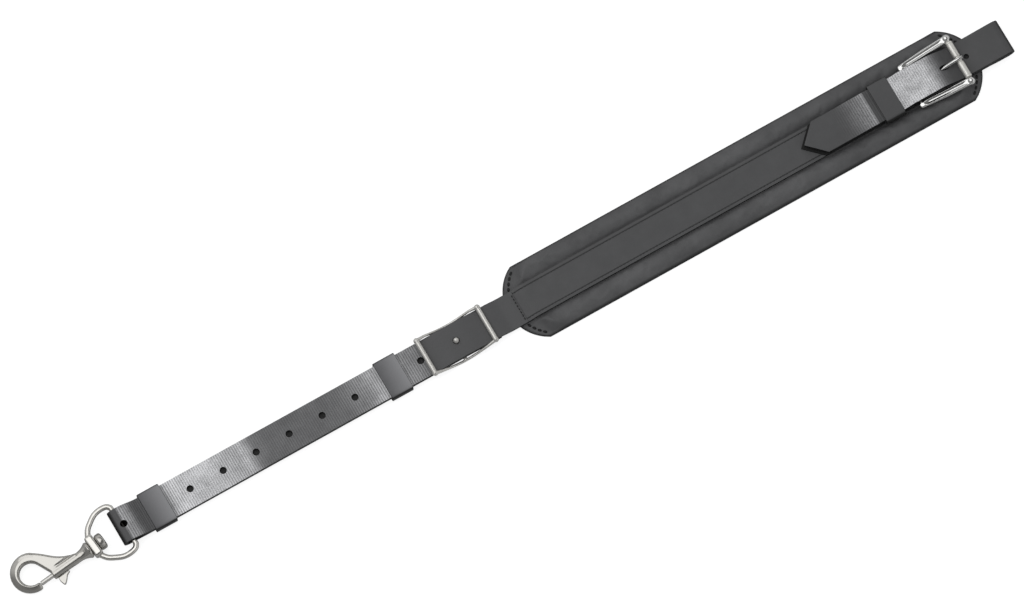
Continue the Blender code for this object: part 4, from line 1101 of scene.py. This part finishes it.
            # drawn down past the lining and cut flat above it
            down = {"value": (0, 0, -2 * self.crown * MM)}
            bpy.ops.mesh.extrude_region_move(TRANSFORM_OT_translate=down)
            bpy.ops.mesh.select_all(action="SELECT")
            floor = (0, 0, (self.lining + self.gap) * MM)
            bpy.ops.mesh.bisect(plane_co=floor, plane_no=(0, 0, 1), use_fill=True, clear_inner=True)
            bpy.ops.mesh.select_all(action="SELECT")
            bpy.ops.mesh.normals_make_consistent(inside=False)
        self.declare(filling, "pad_core", FELT_FILLING)

        lining = self.sheet("pad_lining_skin", lambda x, y: 0.0, self.lining_faces)
        finish_with(lining, "SOLIDIFY", thickness=self.lining * MM, offset=1)
        round_edges(lining, 0.4)
        self.declare(lining, "pad_lining", LINING_LEATHER)
        self.sew_hems()

    def sew_hems(self) -> None:
        """Sews the long stitches of both hems, which stop at the strap."""
        rows = []
        places = np.linspace(self.seat_half - 0.7, self.width / 2 - 3.2, 25)
        for end, side in ((1, 1), (1, -1), (-1, 1), (-1, -1)):
            route = Route([(end * (self.end(y) - self.hem_row), side * y) for y in places.tolist()])
            row = StitchRow("hem_stitches", self.hem_stitch, self.hem_gap, self.hem_thread)
            lift = self.hem_top + self.hem_lift
            rows.append(row.sew(route, 0, route.length, lift=lift, drawn=Drawn.FROM_ABOVE))
        install(joined("hem_stitches", rows), "strap", BLACK_THREAD)


# The straps in their places


@dataclass
class LowerStrap:
    """The doubled lower strap, from its tail round the snap's bar and back to the pad."""

    conway: float = -273.3
    span: float = 57.5  # between the middles of the Conway's end bars
    bar: float = 4.6  # level to each side of an end bar's middle
    boss_half: float = 5.6  # level to each side of the boss's middle
    hump: float = 1.2  # how far both layers rise over the boss
    low: float = 3.7  # height of the lower layer's middle, and of the upper one's
    high: float = 6.8
    tail: float = 6.0  # past the end bar, where the strap begins
    spread: float = -567.05  # where the layers part
    snap_bar: float = -587.5
    snap_bar_z: float = 9.2638
    fold: float = 4.2  # radius of the fold
    slack: float = 1.524  # from the bar to the fold's middle
    hole: float = 6.0
    first_hole: float = 33.6
    pitch: float = 31.1
    hole_count: int = 10
    seam: float = -213.0
    cross_half: float = 13.0  # half the length of the cross row
    cross_setback: float = 1.6
    cross_height: float = 7.35
    # places along the upper layer, with its slope, ribs and shine there
    lie: Sequence[tuple[float, ...]] = (
        (-587.4, 0, 0.2, 0), (-586, 6, 1, 0.45), (-579, 4, 1, 0.4), (-575, 0, 0.9, 0.1), (-571, 0, 0.6, 0.02),
        (-550, 2, 0.8, 0.15), (-542, 8, 1, 0.7), (-534, 12, 0.9, 1), (-524, 12, 0.5, 1), (-500, 12, 0.4, 1),
        (-490, 9, 0.8, 0.72), (-472, 9, 0.8, 0.7), (-462, 2, 0.5, 0.18), (-450, -1, 0.5, 0.11),
        (-400, -2, 0.5, 0.14), (-380, 0, 0.7, 0.14), (-368, 4, 0.9, 0.22), (-358, 8, 1, 0.36),
        (-350, 11, 1, 0.65), (-342, 11, 1, 0.55), (-324, 7, 1, 0.4), (-306, 4, 1, 0.2), (-300, 0, 0, 0),
    )

    def route(self, pad: Pad) -> Route:
        """Side view of the strap.

        Args:
            pad: what its end lies on.

        Returns:
            The route of its middle.
        """
        near, far = self.conway + self.span / 2, self.conway - self.span / 2
        left, right = self.conway - self.boss_half, self.conway + self.boss_half
        fold_x, bow_x = self.snap_bar - self.slack, self.snap_bar + self.slack
        points = [(near + self.tail, self.low)]
        points += ramp((near - self.bar, self.low), (right, self.low + self.hump))
        points += ramp((left, self.low + self.hump), (far + self.bar, self.low))
        points += ramp((self.spread, self.low), (bow_x, self.snap_bar_z - self.fold))
        points += arc((fold_x, self.snap_bar_z), self.fold, 270, 90)
        points += ramp((bow_x, self.snap_bar_z + self.fold), (self.spread, self.high))
        points += ramp((far + self.bar, self.high), (left, self.high + self.hump))
        points += ramp((right, self.high + self.hump), (near - self.bar, self.high))
        points += ramp((near + self.bar, self.high), pad.landed(-1))
        points += [pad.carried(x) for x in (self.seam - 2, self.seam - 1, self.seam)]
        return Route(points)

    def build(self, pad: Pad) -> None:
        """Makes the strap with its holes and the cross row of stitches at its end.

        Args:
            pad: what its end lies on.
        """
        route = self.route(pad)
        first = self.conway - self.first_hole
        places = [self.conway] + [first - k * self.pitch for k in range(self.hole_count)]
        holes = [(route.at(x, last=True), self.hole, self.hole) for x in places]
        holes.append((route.at(self.conway), self.hole, self.hole))
        strap = FlatStrap("lower_strap", holes=holes).cut(route)
        # Coated harness strap: ribs and a painted highlight where it waves up, and painted black shade where
        # it lies under itself.
        lie = [Spot(route.at(x, last=True), *how) for x, *how in self.lie]
        under = route.at(self.snap_bar - self.slack - self.fold + 0.1)
        coat = RibbedStrap("coated_lower_strap", "#49494a", 0.55, lie, shade_painted_to=under)
        install(strap, "strap", coat, "adjusting_strap")
        across = Route([(-self.cross_half, 0.0), (self.cross_half, 0.0)])
        row = StitchRow("cross_stitches", 2.4, 0.7, 0.8).sew(across, 0, across.length)
        settle(row, put(self.seam - self.cross_setback, 0, self.cross_height, 90))
        install(row, "strap", BLACK_THREAD)


@dataclass
class CollarStrap:
    """The strap along the pad, its collar loop and the billet."""

    start: float = -212.7
    loop_end: float = 251.5
    loop_low: float = 3.4  # height of the lower layer's middle
    loop_height: float = 5.4  # room inside the loop
    loop_flat: float = 8.0  # length of its level floor
    front: float = 206.0
    front_room: tuple[float, float] = (6.0, 3.0)  # level before and behind the front bar
    under_roller: float = 10.3
    slot: float = 191.8
    slot_length: float = 10.4
    slot_width: float = 4.8
    over_heel: float = 17.8
    heel: float = 160.8
    heel_room: float = 4.275  # level behind the heel bar
    keeper_front: float = 146.6
    keeper_rear: float = 125.6
    in_keeper: float = 15.7
    shoulder: float = 64.9  # where the billet's point begins
    floating: float = 14.3  # height of its free end
    flat: float = 20.0
    tip: float = 6.8
    hole: float = 4.6
    hole_pitch: float = 21.7
    row: float = 12.2  # from the middle to the stitches along the pad
    row_lift: float = 1.42
    # places along the billet from the buckle to its tip, with its slope, ribs and shine there
    lie: Sequence[tuple[float, ...]] = (
        (194, 0, 0, 0), (188, -3, 0.3, 0.08), (184, -5, 0.4, 0.3), (177, -10, 0.5, 0.9), (168, -13, 0.4, 1),
        (150, -13, 0.35, 1), (146, -10, 0.6, 1), (128, -5, 0.5, 0), (122, -5, 0.5, 0), (120.5, -5, 0.9, 0.4),
        (118, -4, 0.9, 0.3), (108, -2, 0.7, 0.14), (98, 0, 0.3, 0.03), (90, 0, 0, 0),
    )

    def route(self, pad: Pad) -> Route:
        """Side view of the strap.

        Args:
            pad: what it lies on.

        Returns:
            The route of its middle.
        """
        level = pad.length / 2 - pad.hem - pad.shoulder
        places = [*np.linspace(self.start, -level, 13), *np.linspace(level, level + pad.shoulder, 17)]
        points = [pad.carried(float(x)) for x in places]
        high = self.loop_low + STRAP + self.loop_height
        radius = (high - self.loop_low) / 2
        fold = self.loop_end - STRAP / 2 - radius
        points += ramp(pad.landed(1), (fold - self.loop_flat, self.loop_low))
        points += arc((fold, self.loop_low + radius), radius, -90, 90)
        points += ramp((fold - 0.2, high), (self.front + self.front_room[0], self.under_roller))
        half = self.front - self.front_room[1] - self.slot
        points += ramp((self.slot + half, self.under_roller), (self.slot - half, self.over_heel))
        points += ramp((self.heel - self.heel_room, self.over_heel), (self.keeper_front, self.in_keeper))
        points += ramp((self.keeper_rear, self.in_keeper), (self.shoulder + self.flat, self.floating))
        points.append((self.shoulder, self.floating))
        return Route(points)

    def build(self, pad: Pad) -> None:
        """Makes the strap with the tongue's slot, a spare hole and the two rows along the pad.

        Args:
            pad: what it lies on.
        """
        route = self.route(pad)
        slot = route.at(self.slot, last=True), self.slot_length, self.slot_width
        spare = route.at(self.slot + self.hole_pitch, last=True), self.hole, self.hole
        strap = FlatStrap("collar_strap_leather", end_point=self.tip, holes=(slot, spare)).cut(route)
        pad_end = route.at(pad.length / 2)
        # The same coated strap: flat and dull on the pad, ribbed and with a painted highlight on the billet.
        lie = [Spot(route.at(x, last=True), *how) for x, *how in self.lie]
        coat = RibbedStrap("coated_collar_strap", "#434344", 0.55, lie, crease=self.row, crease_end=pad_end)
        install(strap, "strap", coat, "collar_strap")
        row = StitchRow("row")
        rows = [row.sew(route, 1, pad_end - 4, side * self.row, self.row_lift) for side in (1, -1)]
        install(joined("pad_rows", rows), "strap", ROW_THREAD)


@dataclass
class Chape:
    """The thin leather turned round the buckle's heel bar."""

    shoulder: float = 62.1
    low: float = 9.65
    heel: float = 160.8
    radius: float = 2.85
    keeper_front: float = 146.6
    keeper_rear: float = 125.6
    in_keeper: float = 13.25
    fall: float = 14.0
    high: float = 11.45
    step: float = 4.0
    tip: float = 6.8
    thickness: float = 1.5
    edge: float = 0.3
    slot_length: float = 15.0
    slot_width: float = 6.0

    def build(self) -> None:
        """Makes the chape, slotted for the tongue."""
        heel_z = self.low + self.radius
        points = [(self.shoulder, self.low), *arc((self.heel, heel_z), self.radius, -90, 90)]
        over = self.heel - self.radius / 2, heel_z + self.radius
        points += ramp(over, (self.keeper_front, self.in_keeper))
        points += ramp((self.keeper_rear, self.in_keeper), (self.keeper_rear - self.fall, self.high))
        route = Route([*points, (self.shoulder + self.step, self.high)])
        middle = route.at(self.heel + self.radius - 0.05)
        chape = FlatStrap(
            "chape_leather_turn", thickness=self.thickness, edge=self.edge, start_point=self.tip,
            end_point=self.tip, holes=((middle, self.slot_length, self.slot_width),),
        ).cut(route)
        install(chape, "strap", CHAPE_LEATHER, "buckle_chape")


@dataclass(frozen=True)
class Keeper:
    """A leather loop round the strap. The sizes given here are a sliding keeper's."""

    name: str
    node: str
    body: str
    slot: str
    finish: Finish
    x: float
    width: float = 19.7
    half_room: float = 15.3
    floor: float = 0.0
    ceiling: float = 8.5
    wall: float = 2.0
    corner: float = 1.6
    dish: float = 0.3
    cell: float = 0.8

    def route(self) -> Route:
        """The loop as seen along the strap, clockwise from the middle of its underside.

        Returns:
            The route of its wall's middle.
        """
        side, turn = self.half_room + self.wall / 2 - self.corner, self.corner
        low, high = self.floor + self.wall / 2, self.ceiling + self.wall / 2
        corners = ((-side, low + turn), (-side, high - turn), (side, high - turn), (side, low + turn))
        points = [(0.0, low)]
        for corner, start in zip(corners, (270, 180, 90, 0)):
            points += arc(corner, turn, start, start - 90, 8)
        return Route([*points, (0.0, low)])

    def build(self) -> None:
        """Makes the keeper."""
        strip = FlatStrap(
            self.name, self.width, self.wall, cell=self.cell, dish=self.dish, dish_half=self.half_room
        )
        loop = settle(strip.cut(self.route()), put(self.x, turn=90))
        install(loop, self.body, self.finish, self.node)


KEEPERS = (
    Keeper("upper_keeper_loop", "upper_keeper", "upper_loop", "sliding_keeper", SLIDING_LEATHER, -333.2),
    Keeper("lower_keeper_loop", "lower_keeper", "lower_loop", "sliding_keeper", SLIDING_LEATHER, -555.7),
    Keeper(
        "fixed_keeper_loop", "fixed_keeper", "strap", "fixed_keeper", FIXED_LEATHER, 136.1,
        width=18.0, half_room=16.4, floor=10.7, ceiling=17.4, wall=1.5,
    ),
)


# Buckles and snap


@dataclass(frozen=True)
class Casting:
    """A cast piece: its CAD solid, with its facets and corners tumbled round."""

    node: str
    body: str
    slot: str
    finish: Finish
    grain: float = 0.3  # between the points of its skin
    rounds: int = 6  # how long it is tumbled

    def build(self) -> Piece:
        """Makes the casting from a merged copy of the solid.

        Returns:
            The casting.
        """
        piece = bpy.data.objects.new(self.node + "_casting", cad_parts[self.node].data.copy())
        bpy.context.scene.collection.objects.link(piece)
        with shaping(piece):
            bpy.ops.mesh.remove_doubles(threshold=2 * WELD * MM)
        finish_with(piece, "REMESH", mode="VOXEL", voxel_size=self.grain * MM)
        finish_with(piece, "SMOOTH", factor=0.5, iterations=self.rounds)
        take(piece)
        bpy.ops.object.shade_smooth()
        return install(piece, self.body, self.finish, self.node)


@dataclass
class ConwayBuckle:
    """The cast frame and its turned stud."""

    x: float = -273.3
    stud_top: float = 12.6
    head: float = 2.5
    seat: float = 3.5
    foot: float = 1.6
    foot_end: float = 0.2

    def build(self) -> None:
        """Makes the two pieces."""
        Casting("conway_frame", "strap", "satin_steel", SATIN_STEEL).build()
        profile = [(0.0, self.stud_top), *arc((0, self.stud_top - self.head), self.head, 80, 0, 10)]
        profile += [(self.head, self.seat), (self.foot, self.seat)]
        profile += [(self.foot, self.foot_end), (0.0, self.foot_end)]
        stud = settle(turned("conway_stud_turned", profile, edge=0.1), put(self.x))
        install(stud, "strap", SATIN_STEEL, "conway_stud")


@dataclass
class RollerBuckle:
    """The polished frame and tongue, and the turned roller."""

    front: Triple = (206.0, 0.0, 15.0)
    half: float = 17.2
    outside: float = 3.0
    waist: float = 2.5
    waist_half: float = 2.5
    bore: float = 2.1
    edge: float = 0.5
    score: Triple = (1.6, 1.8, 2.0)  # from the roller's ends to a fine line scored round it
    score_depth: float = 0.18
    reach: float = 45.2  # from the front bar to the heel bar
    drop: float = 2.5  # how much lower the heel bar lies
    arm_front: float = 20.6  # from the middle to an arm's middle, at the front bar and at the heel bar
    arm_heel: float = 18.2
    hollow: float = 0.75  # depth of the hollow along each arm
    hollow_half: float = 1.9
    hollow_room: tuple[float, float] = (1.6, 0.5)  # from the front and heel bars to the hollow's ends
    hollow_fade: float = 6.0

    def hollow_arms(self, piece: Piece) -> None:
        """Hollows the upper faces of both arms, which leaves a rim on each side.

        Args:
            piece: the frame's casting.
        """
        tilt = math.asin(self.drop / self.reach)
        for corner in piece.data.vertices:
            x, height = corner.co.x / MM - self.front[0], corner.co.z / MM - self.front[2]
            along = x * math.cos(tilt) + height * math.sin(tilt)
            above = height * math.cos(tilt) - x * math.sin(tilt)
            middle = self.arm_front + (self.arm_heel - self.arm_front) * -along / self.reach
            off = (abs(corner.co.y / MM) - middle) / self.hollow_half
            room = min(-along - self.hollow_room[0], along + self.reach - self.hollow_room[1])
            if above > 0 and abs(off) < 1:
                corner.co.z -= self.hollow * MM * (1 - off**2) * smooth_step(room / self.hollow_fade)

    def build(self) -> None:
        """Makes the three pieces."""
        arms = Casting("buckle_frame", "strap", "polished_steel", POLISHED_STEEL, 0.25, 30).build()
        self.hollow_arms(arms)
        Casting("buckle_tongue", "tongue", "polished_steel", POLISHED_STEEL, 0.2).build()
        out, edge, half, waist = self.outside, self.edge, self.half, self.waist_half
        start, middle, end = (half - way for way in self.score)
        profile = [(self.bore, half), (out - edge, half), (out, half - edge), (out, start)]
        profile += [(out - self.score_depth, middle), (out, end), (out, waist + edge), (self.waist, waist)]
        profile += [(r, -z) for r, z in reversed(profile)]
        roller = turned("roller_turned", [*profile, profile[0]], edge=0.12)
        settle(roller, put(*self.front, turn=-90, axis="X"))
        install(roller, "roller", TUBE_STEEL, "buckle_roller")


@dataclass
class SwivelSnap:
    """The snap: cast eye, body and thumb piece, turned post and bolt, and the spring."""

    bar: Triple = (-587.5, 0.0, 9.2638)
    pitch: float = 3.035
    yaw: float = 5.8
    button: float = 7.1
    button_back: float = 19.5
    button_front: float = 25.5
    post: float = 3.0
    post_end: float = 38.4
    bolt: float = 2.0
    bolt_rear: float = 60.5
    bolt_tip: float = 82.1
    travel: float = 11.5  # how far the bolt slides back
    spring_ends: tuple[float, float] = (40.54, 60.19)
    winding: float = 1.69  # from the spring's middle to its wire's middle
    wire: float = 0.3
    wire_sides: int = 10
    turns: int = 8
    turn_steps: int = 24
    ring: tuple[float, float] = (84.4, -12.4)
    ring_radius: float = 16.9
    half_thick: float = 3.9
    slant: float = 4.6  # width of the slanted face round the ring
    slant_fall: float = 2.7
    slant_ends: tuple[float, float] = (-125.0, 135.0)  # degrees round the ring
    slant_ease: tuple[float, float] = (45.0, 115.0)  # over these degrees the fall eases to 0.15 of it
    groove_y: float = -4.3
    groove_half: float = 1.5
    groove_depth: float = 1.5
    groove_start: float = 43.0
    groove_fade: float = 50.0
    groove_ease: tuple[float, float] = (6.0, 20.0)  # over which it begins and ends

    def frame(self) -> Matrix:
        """The snap's own axes: X along it, Y across it and Z out of its face."""
        turn = Euler((0, math.radians(self.pitch), math.pi + math.radians(self.yaw)))
        return put(*self.bar) @ turn.to_matrix().to_4x4()

    def place(self) -> Matrix:
        """Where a piece turned round Z goes, with Z along the snap."""
        return self.frame() @ put(turn=90, axis="Y")

    def carve(self, body: Piece) -> None:
        """Shapes both faces: the ring slants down, and a groove parts the barrel from the web.

        Args:
            body: the body's casting.
        """
        there = self.frame()
        back = there.inverted()
        ease, (begin, end) = self.slant_ease, self.groove_ease
        for corner in body.data.vertices:
            spot = back @ corner.co
            x, y = spot.x / MM - self.ring[0], spot.y / MM - self.ring[1]
            out = math.hypot(x, y) - (self.ring_radius - self.slant)
            turn = math.degrees(math.atan2(-y, x))
            share = 1 - 0.85 * smooth_step((turn - ease[0]) / (ease[1] - ease[0]))
            if out > 0 and self.slant_ends[0] < turn < self.slant_ends[1]:
                spot.z *= 1 - share * min(1.0, out / self.slant) * self.slant_fall / self.half_thick
            off = (spot.y / MM - self.groove_y) / self.groove_half
            length = smooth_step((spot.x / MM - self.groove_start) / begin)
            length *= 1 - smooth_step((spot.x / MM - self.groove_fade) / end)
            if abs(off) < 1 and abs(spot.z) > MM:
                spot.z -= math.copysign(self.groove_depth * MM * (1 - off**2) * length, spot.z)
            corner.co = there @ spot

    def coil(self) -> Piece:
        """Winds the spring behind the bolt.

        Returns:
            The coil, in its place.
        """
        free_all()
        start, end = self.spring_ends[0] + self.wire, self.spring_ends[1] - self.wire
        bpy.ops.mesh.primitive_circle_add(
            vertices=self.wire_sides, radius=self.wire * MM, fill_type="NOTHING",
            location=(self.winding * MM, 0, start * MM), rotation=(math.radians(90), 0, 0),
        )
        spring = settle(named("bolt_spring_wound"))
        finish_with(
            spring, "SCREW", screw_offset=(end - start) / self.turns * MM, iterations=self.turns,
            steps=self.turn_steps, render_steps=self.turn_steps,
        )
        with shaping(spring):
            close_up(fill=True)
        smooth(spring)
        settle(spring, self.place())
        way = self.place().to_3x3() @ Vector((0, 0, 1))
        fixed = self.place() @ Vector((0, 0, self.spring_ends[0] * MM))
        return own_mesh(spring)

    def build(self) -> None:
        """Makes the pieces."""
        Casting("snap_eye", "eye", "cast_steel", FOLD_SHADED_CAST_STEEL, rounds=12).build()
        self.carve(Casting("snap_body", "snap", "cast_steel", CAST_STEEL, 0.28, 16).build())
        Casting("bolt_thumb", "bolt", "cast_steel", CAST_STEEL, 0.2).build()
        # every edge of the button and of the bolt is chamfered
        r, back, front = self.button, self.button_back, self.button_front
        profile = [(0.0, self.post_end), (self.post, self.post_end), (self.post, front), (r - 1.0, front)]
        profile += [(r, front - 1.2), (r, back + 1.6), (r - 0.5, back + 0.6), (r - 1.5, back), (0.0, back)]
        post = settle(turned("swivel_post_turned", profile), self.place())
        install(post, "snap", CAST_STEEL, "swivel_post")
        r, rear, tip = self.bolt, self.bolt_rear, self.bolt_tip
        profile = [(0.0, tip), (r - 0.6, tip), (r - 0.15, tip - 0.25), (r, tip - 0.7), (r, rear + 0.4)]
        profile += [(r - 0.4, rear), (0.0, rear)]
        bolt = settle(turned("snap_bolt_turned", profile, edge=0.1), self.place())
        install(bolt, "bolt", SATIN_STEEL, "snap_bolt")
        install(self.coil(), "snap", SPRING_STEEL, "bolt_spring")


# Stage


@dataclass
class Studio:
    """Camera, lights and floor, as the photograph was taken: looking down at about 75 degrees."""

    azimuth: float = -29.8975
    elevation: float = 75.0
    distance: float = 9.0  # distances here are in metres
    target: Triple = (-0.21627, 0.00703, 0.0)
    lens: float = 383.97
    key_from: Triple = (-0.275, 0.224, 0.935)
    key_distance: float = 6.0
    key_size: float = 6.0
    key_power: float = 132.0
    sky: float = 0.72
    # how bright the room is in metal, by the height that it is seen at
    ceiling: Sequence[tuple[float, float]] = (
        (0.0, 0.6), (0.2, 0.6), (0.5, 0.7), (0.64, 0.5), (0.76, 0.16), (0.93, 0.16), (0.98, 0.3), (1.0, 0.3),
    )
    dark_side: Triple = (-0.82, -0.57, 0.0)
    dark_wall: float = 0.4
    floor_size: float = 30.0
    floor_height: float = -0.0003
    floor_glow: float = 0.78
    glossy_floor: float = 0.05  # how much of the table's glow shows in metal

    def build(self) -> None:
        """Sets the stage."""
        scene = bpy.context.scene
        scene.view_settings.view_transform = "Standard"
        a, e = math.radians(self.azimuth), math.radians(self.elevation)
        back = Vector((math.sin(a) * math.cos(e), -math.cos(a) * math.cos(e), math.sin(e)))
        bpy.ops.object.camera_add()
        camera = bpy.context.object
        camera.name = "camera"
        self.aim(camera, back, self.distance)
        camera.data.lens = self.lens
        camera.data.sensor_width = 36
        camera.data.clip_start, camera.data.clip_end = 0.05, 100
        scene.camera = camera

        bpy.ops.object.light_add(type="AREA")
        key = bpy.context.object
        key.name = "key_softbox"
        self.aim(key, Vector(self.key_from).normalized(), self.key_distance)
        key.data.shape = "SQUARE"
        key.data.size = self.key_size
        key.data.energy = self.key_power
        key.visible_camera = False

        self.paint_world(scene)
        self.lay_floor()

    def aim(self, thing: Piece, back: Vector, distance: float) -> None:
        """Points the camera or a lamp at the target, from a distance back along a direction."""
        thing.location = Vector(self.target) + back * distance
        thing.rotation_euler = back.to_track_quat("Z", "Y").to_euler()

    def paint_world(self, scene: bpy.types.Scene) -> None:
        """A plain room: white to the camera, soft as light, and in metal a pale ceiling over dark walls.

        Args:
            scene: the scene that it surrounds.
        """
        scene.world = bpy.data.worlds.new("pale_room")
        tree = cleared(scene.world)
        ray = node(tree, "LightPath", {})
        seen = node(tree, "TexCoord", {}).outputs["Generated"]
        height = node(tree, "SeparateXYZ", {0: seen}).outputs["Z"]
        ceiling = node(tree, "ValToRGB", {"Fac": height}, self.ceiling)
        near = node(tree, "VectorMath", {"operation": "DOT_PRODUCT", 0: seen, 1: self.dark_side})
        dim = node(tree, "MapRange", {0: near, 1: 0.1, 2: 0.5, 3: 1.0, 4: self.dark_wall})
        shown = node(tree, "Background", {"Color": ceiling, "Strength": dim})
        soft = node(tree, "Background", {"Color": linear("#f4f5f6"), "Strength": self.sky})
        white = node(tree, "Background", {"Color": (1, 1, 1, 1), "Strength": 1.0})
        lit = node(tree, "MixShader", {0: ray.outputs["Is Glossy Ray"], 1: soft, 2: shown})
        mixed = node(tree, "MixShader", {0: ray.outputs["Is Camera Ray"], 1: lit, 2: white})
        node(tree, "OutputWorld", {"Surface": mixed})

    def lay_floor(self) -> None:
        """A white table that keeps a faint shadow."""
        bpy.ops.mesh.primitive_plane_add(size=self.floor_size, location=(0, 0, self.floor_height))
        floor = named("table_top")
        # Matt white board: it glows to the camera, so that it is white round its soft shadow.
        made = bpy.data.materials.new("white_table")
        tree = cleared(made)
        ray = node(tree, "LightPath", {}).outputs
        matt = node(tree, "BsdfDiffuse", {"Color": linear("#a8a8a8")})
        clear = node(
            tree, "Math", {"operation": "MAXIMUM", 0: ray["Is Camera Ray"], 1: ray["Is Transmission Ray"]}
        )
        glossy = node(tree, "Math", {"operation": "MULTIPLY", 0: ray["Is Glossy Ray"], 1: self.glossy_floor})
        seen = node(tree, "Math", {"operation": "MAXIMUM", 0: clear, 1: glossy})
        lift = node(tree, "Math", {"operation": "MULTIPLY", 0: seen, 1: self.floor_glow})
        glow = node(tree, "Emission", {"Color": (1, 1, 1, 1), "Strength": lift})
        node(tree, "OutputMaterial", {"Surface": node(tree, "AddShader", {0: matt, 1: glow})})
        floor.data.materials.append(made)


def main() -> None:
    """Builds the sub-assemblies in order and reports each piece."""
    logging.basicConfig(level=logging.INFO, format="%(message)s")
    free_all()
    Studio().build()
    pad = Pad()
    pad.build()
    LowerStrap().build(pad)
    CollarStrap().build(pad)
    Chape().build()
    for keeper in KEEPERS:
        keeper.build()
    ConwayBuckle().build()
    RollerBuckle().build()
    SwivelSnap().build()
    free_all()


if __name__ == "__main__":
    main()
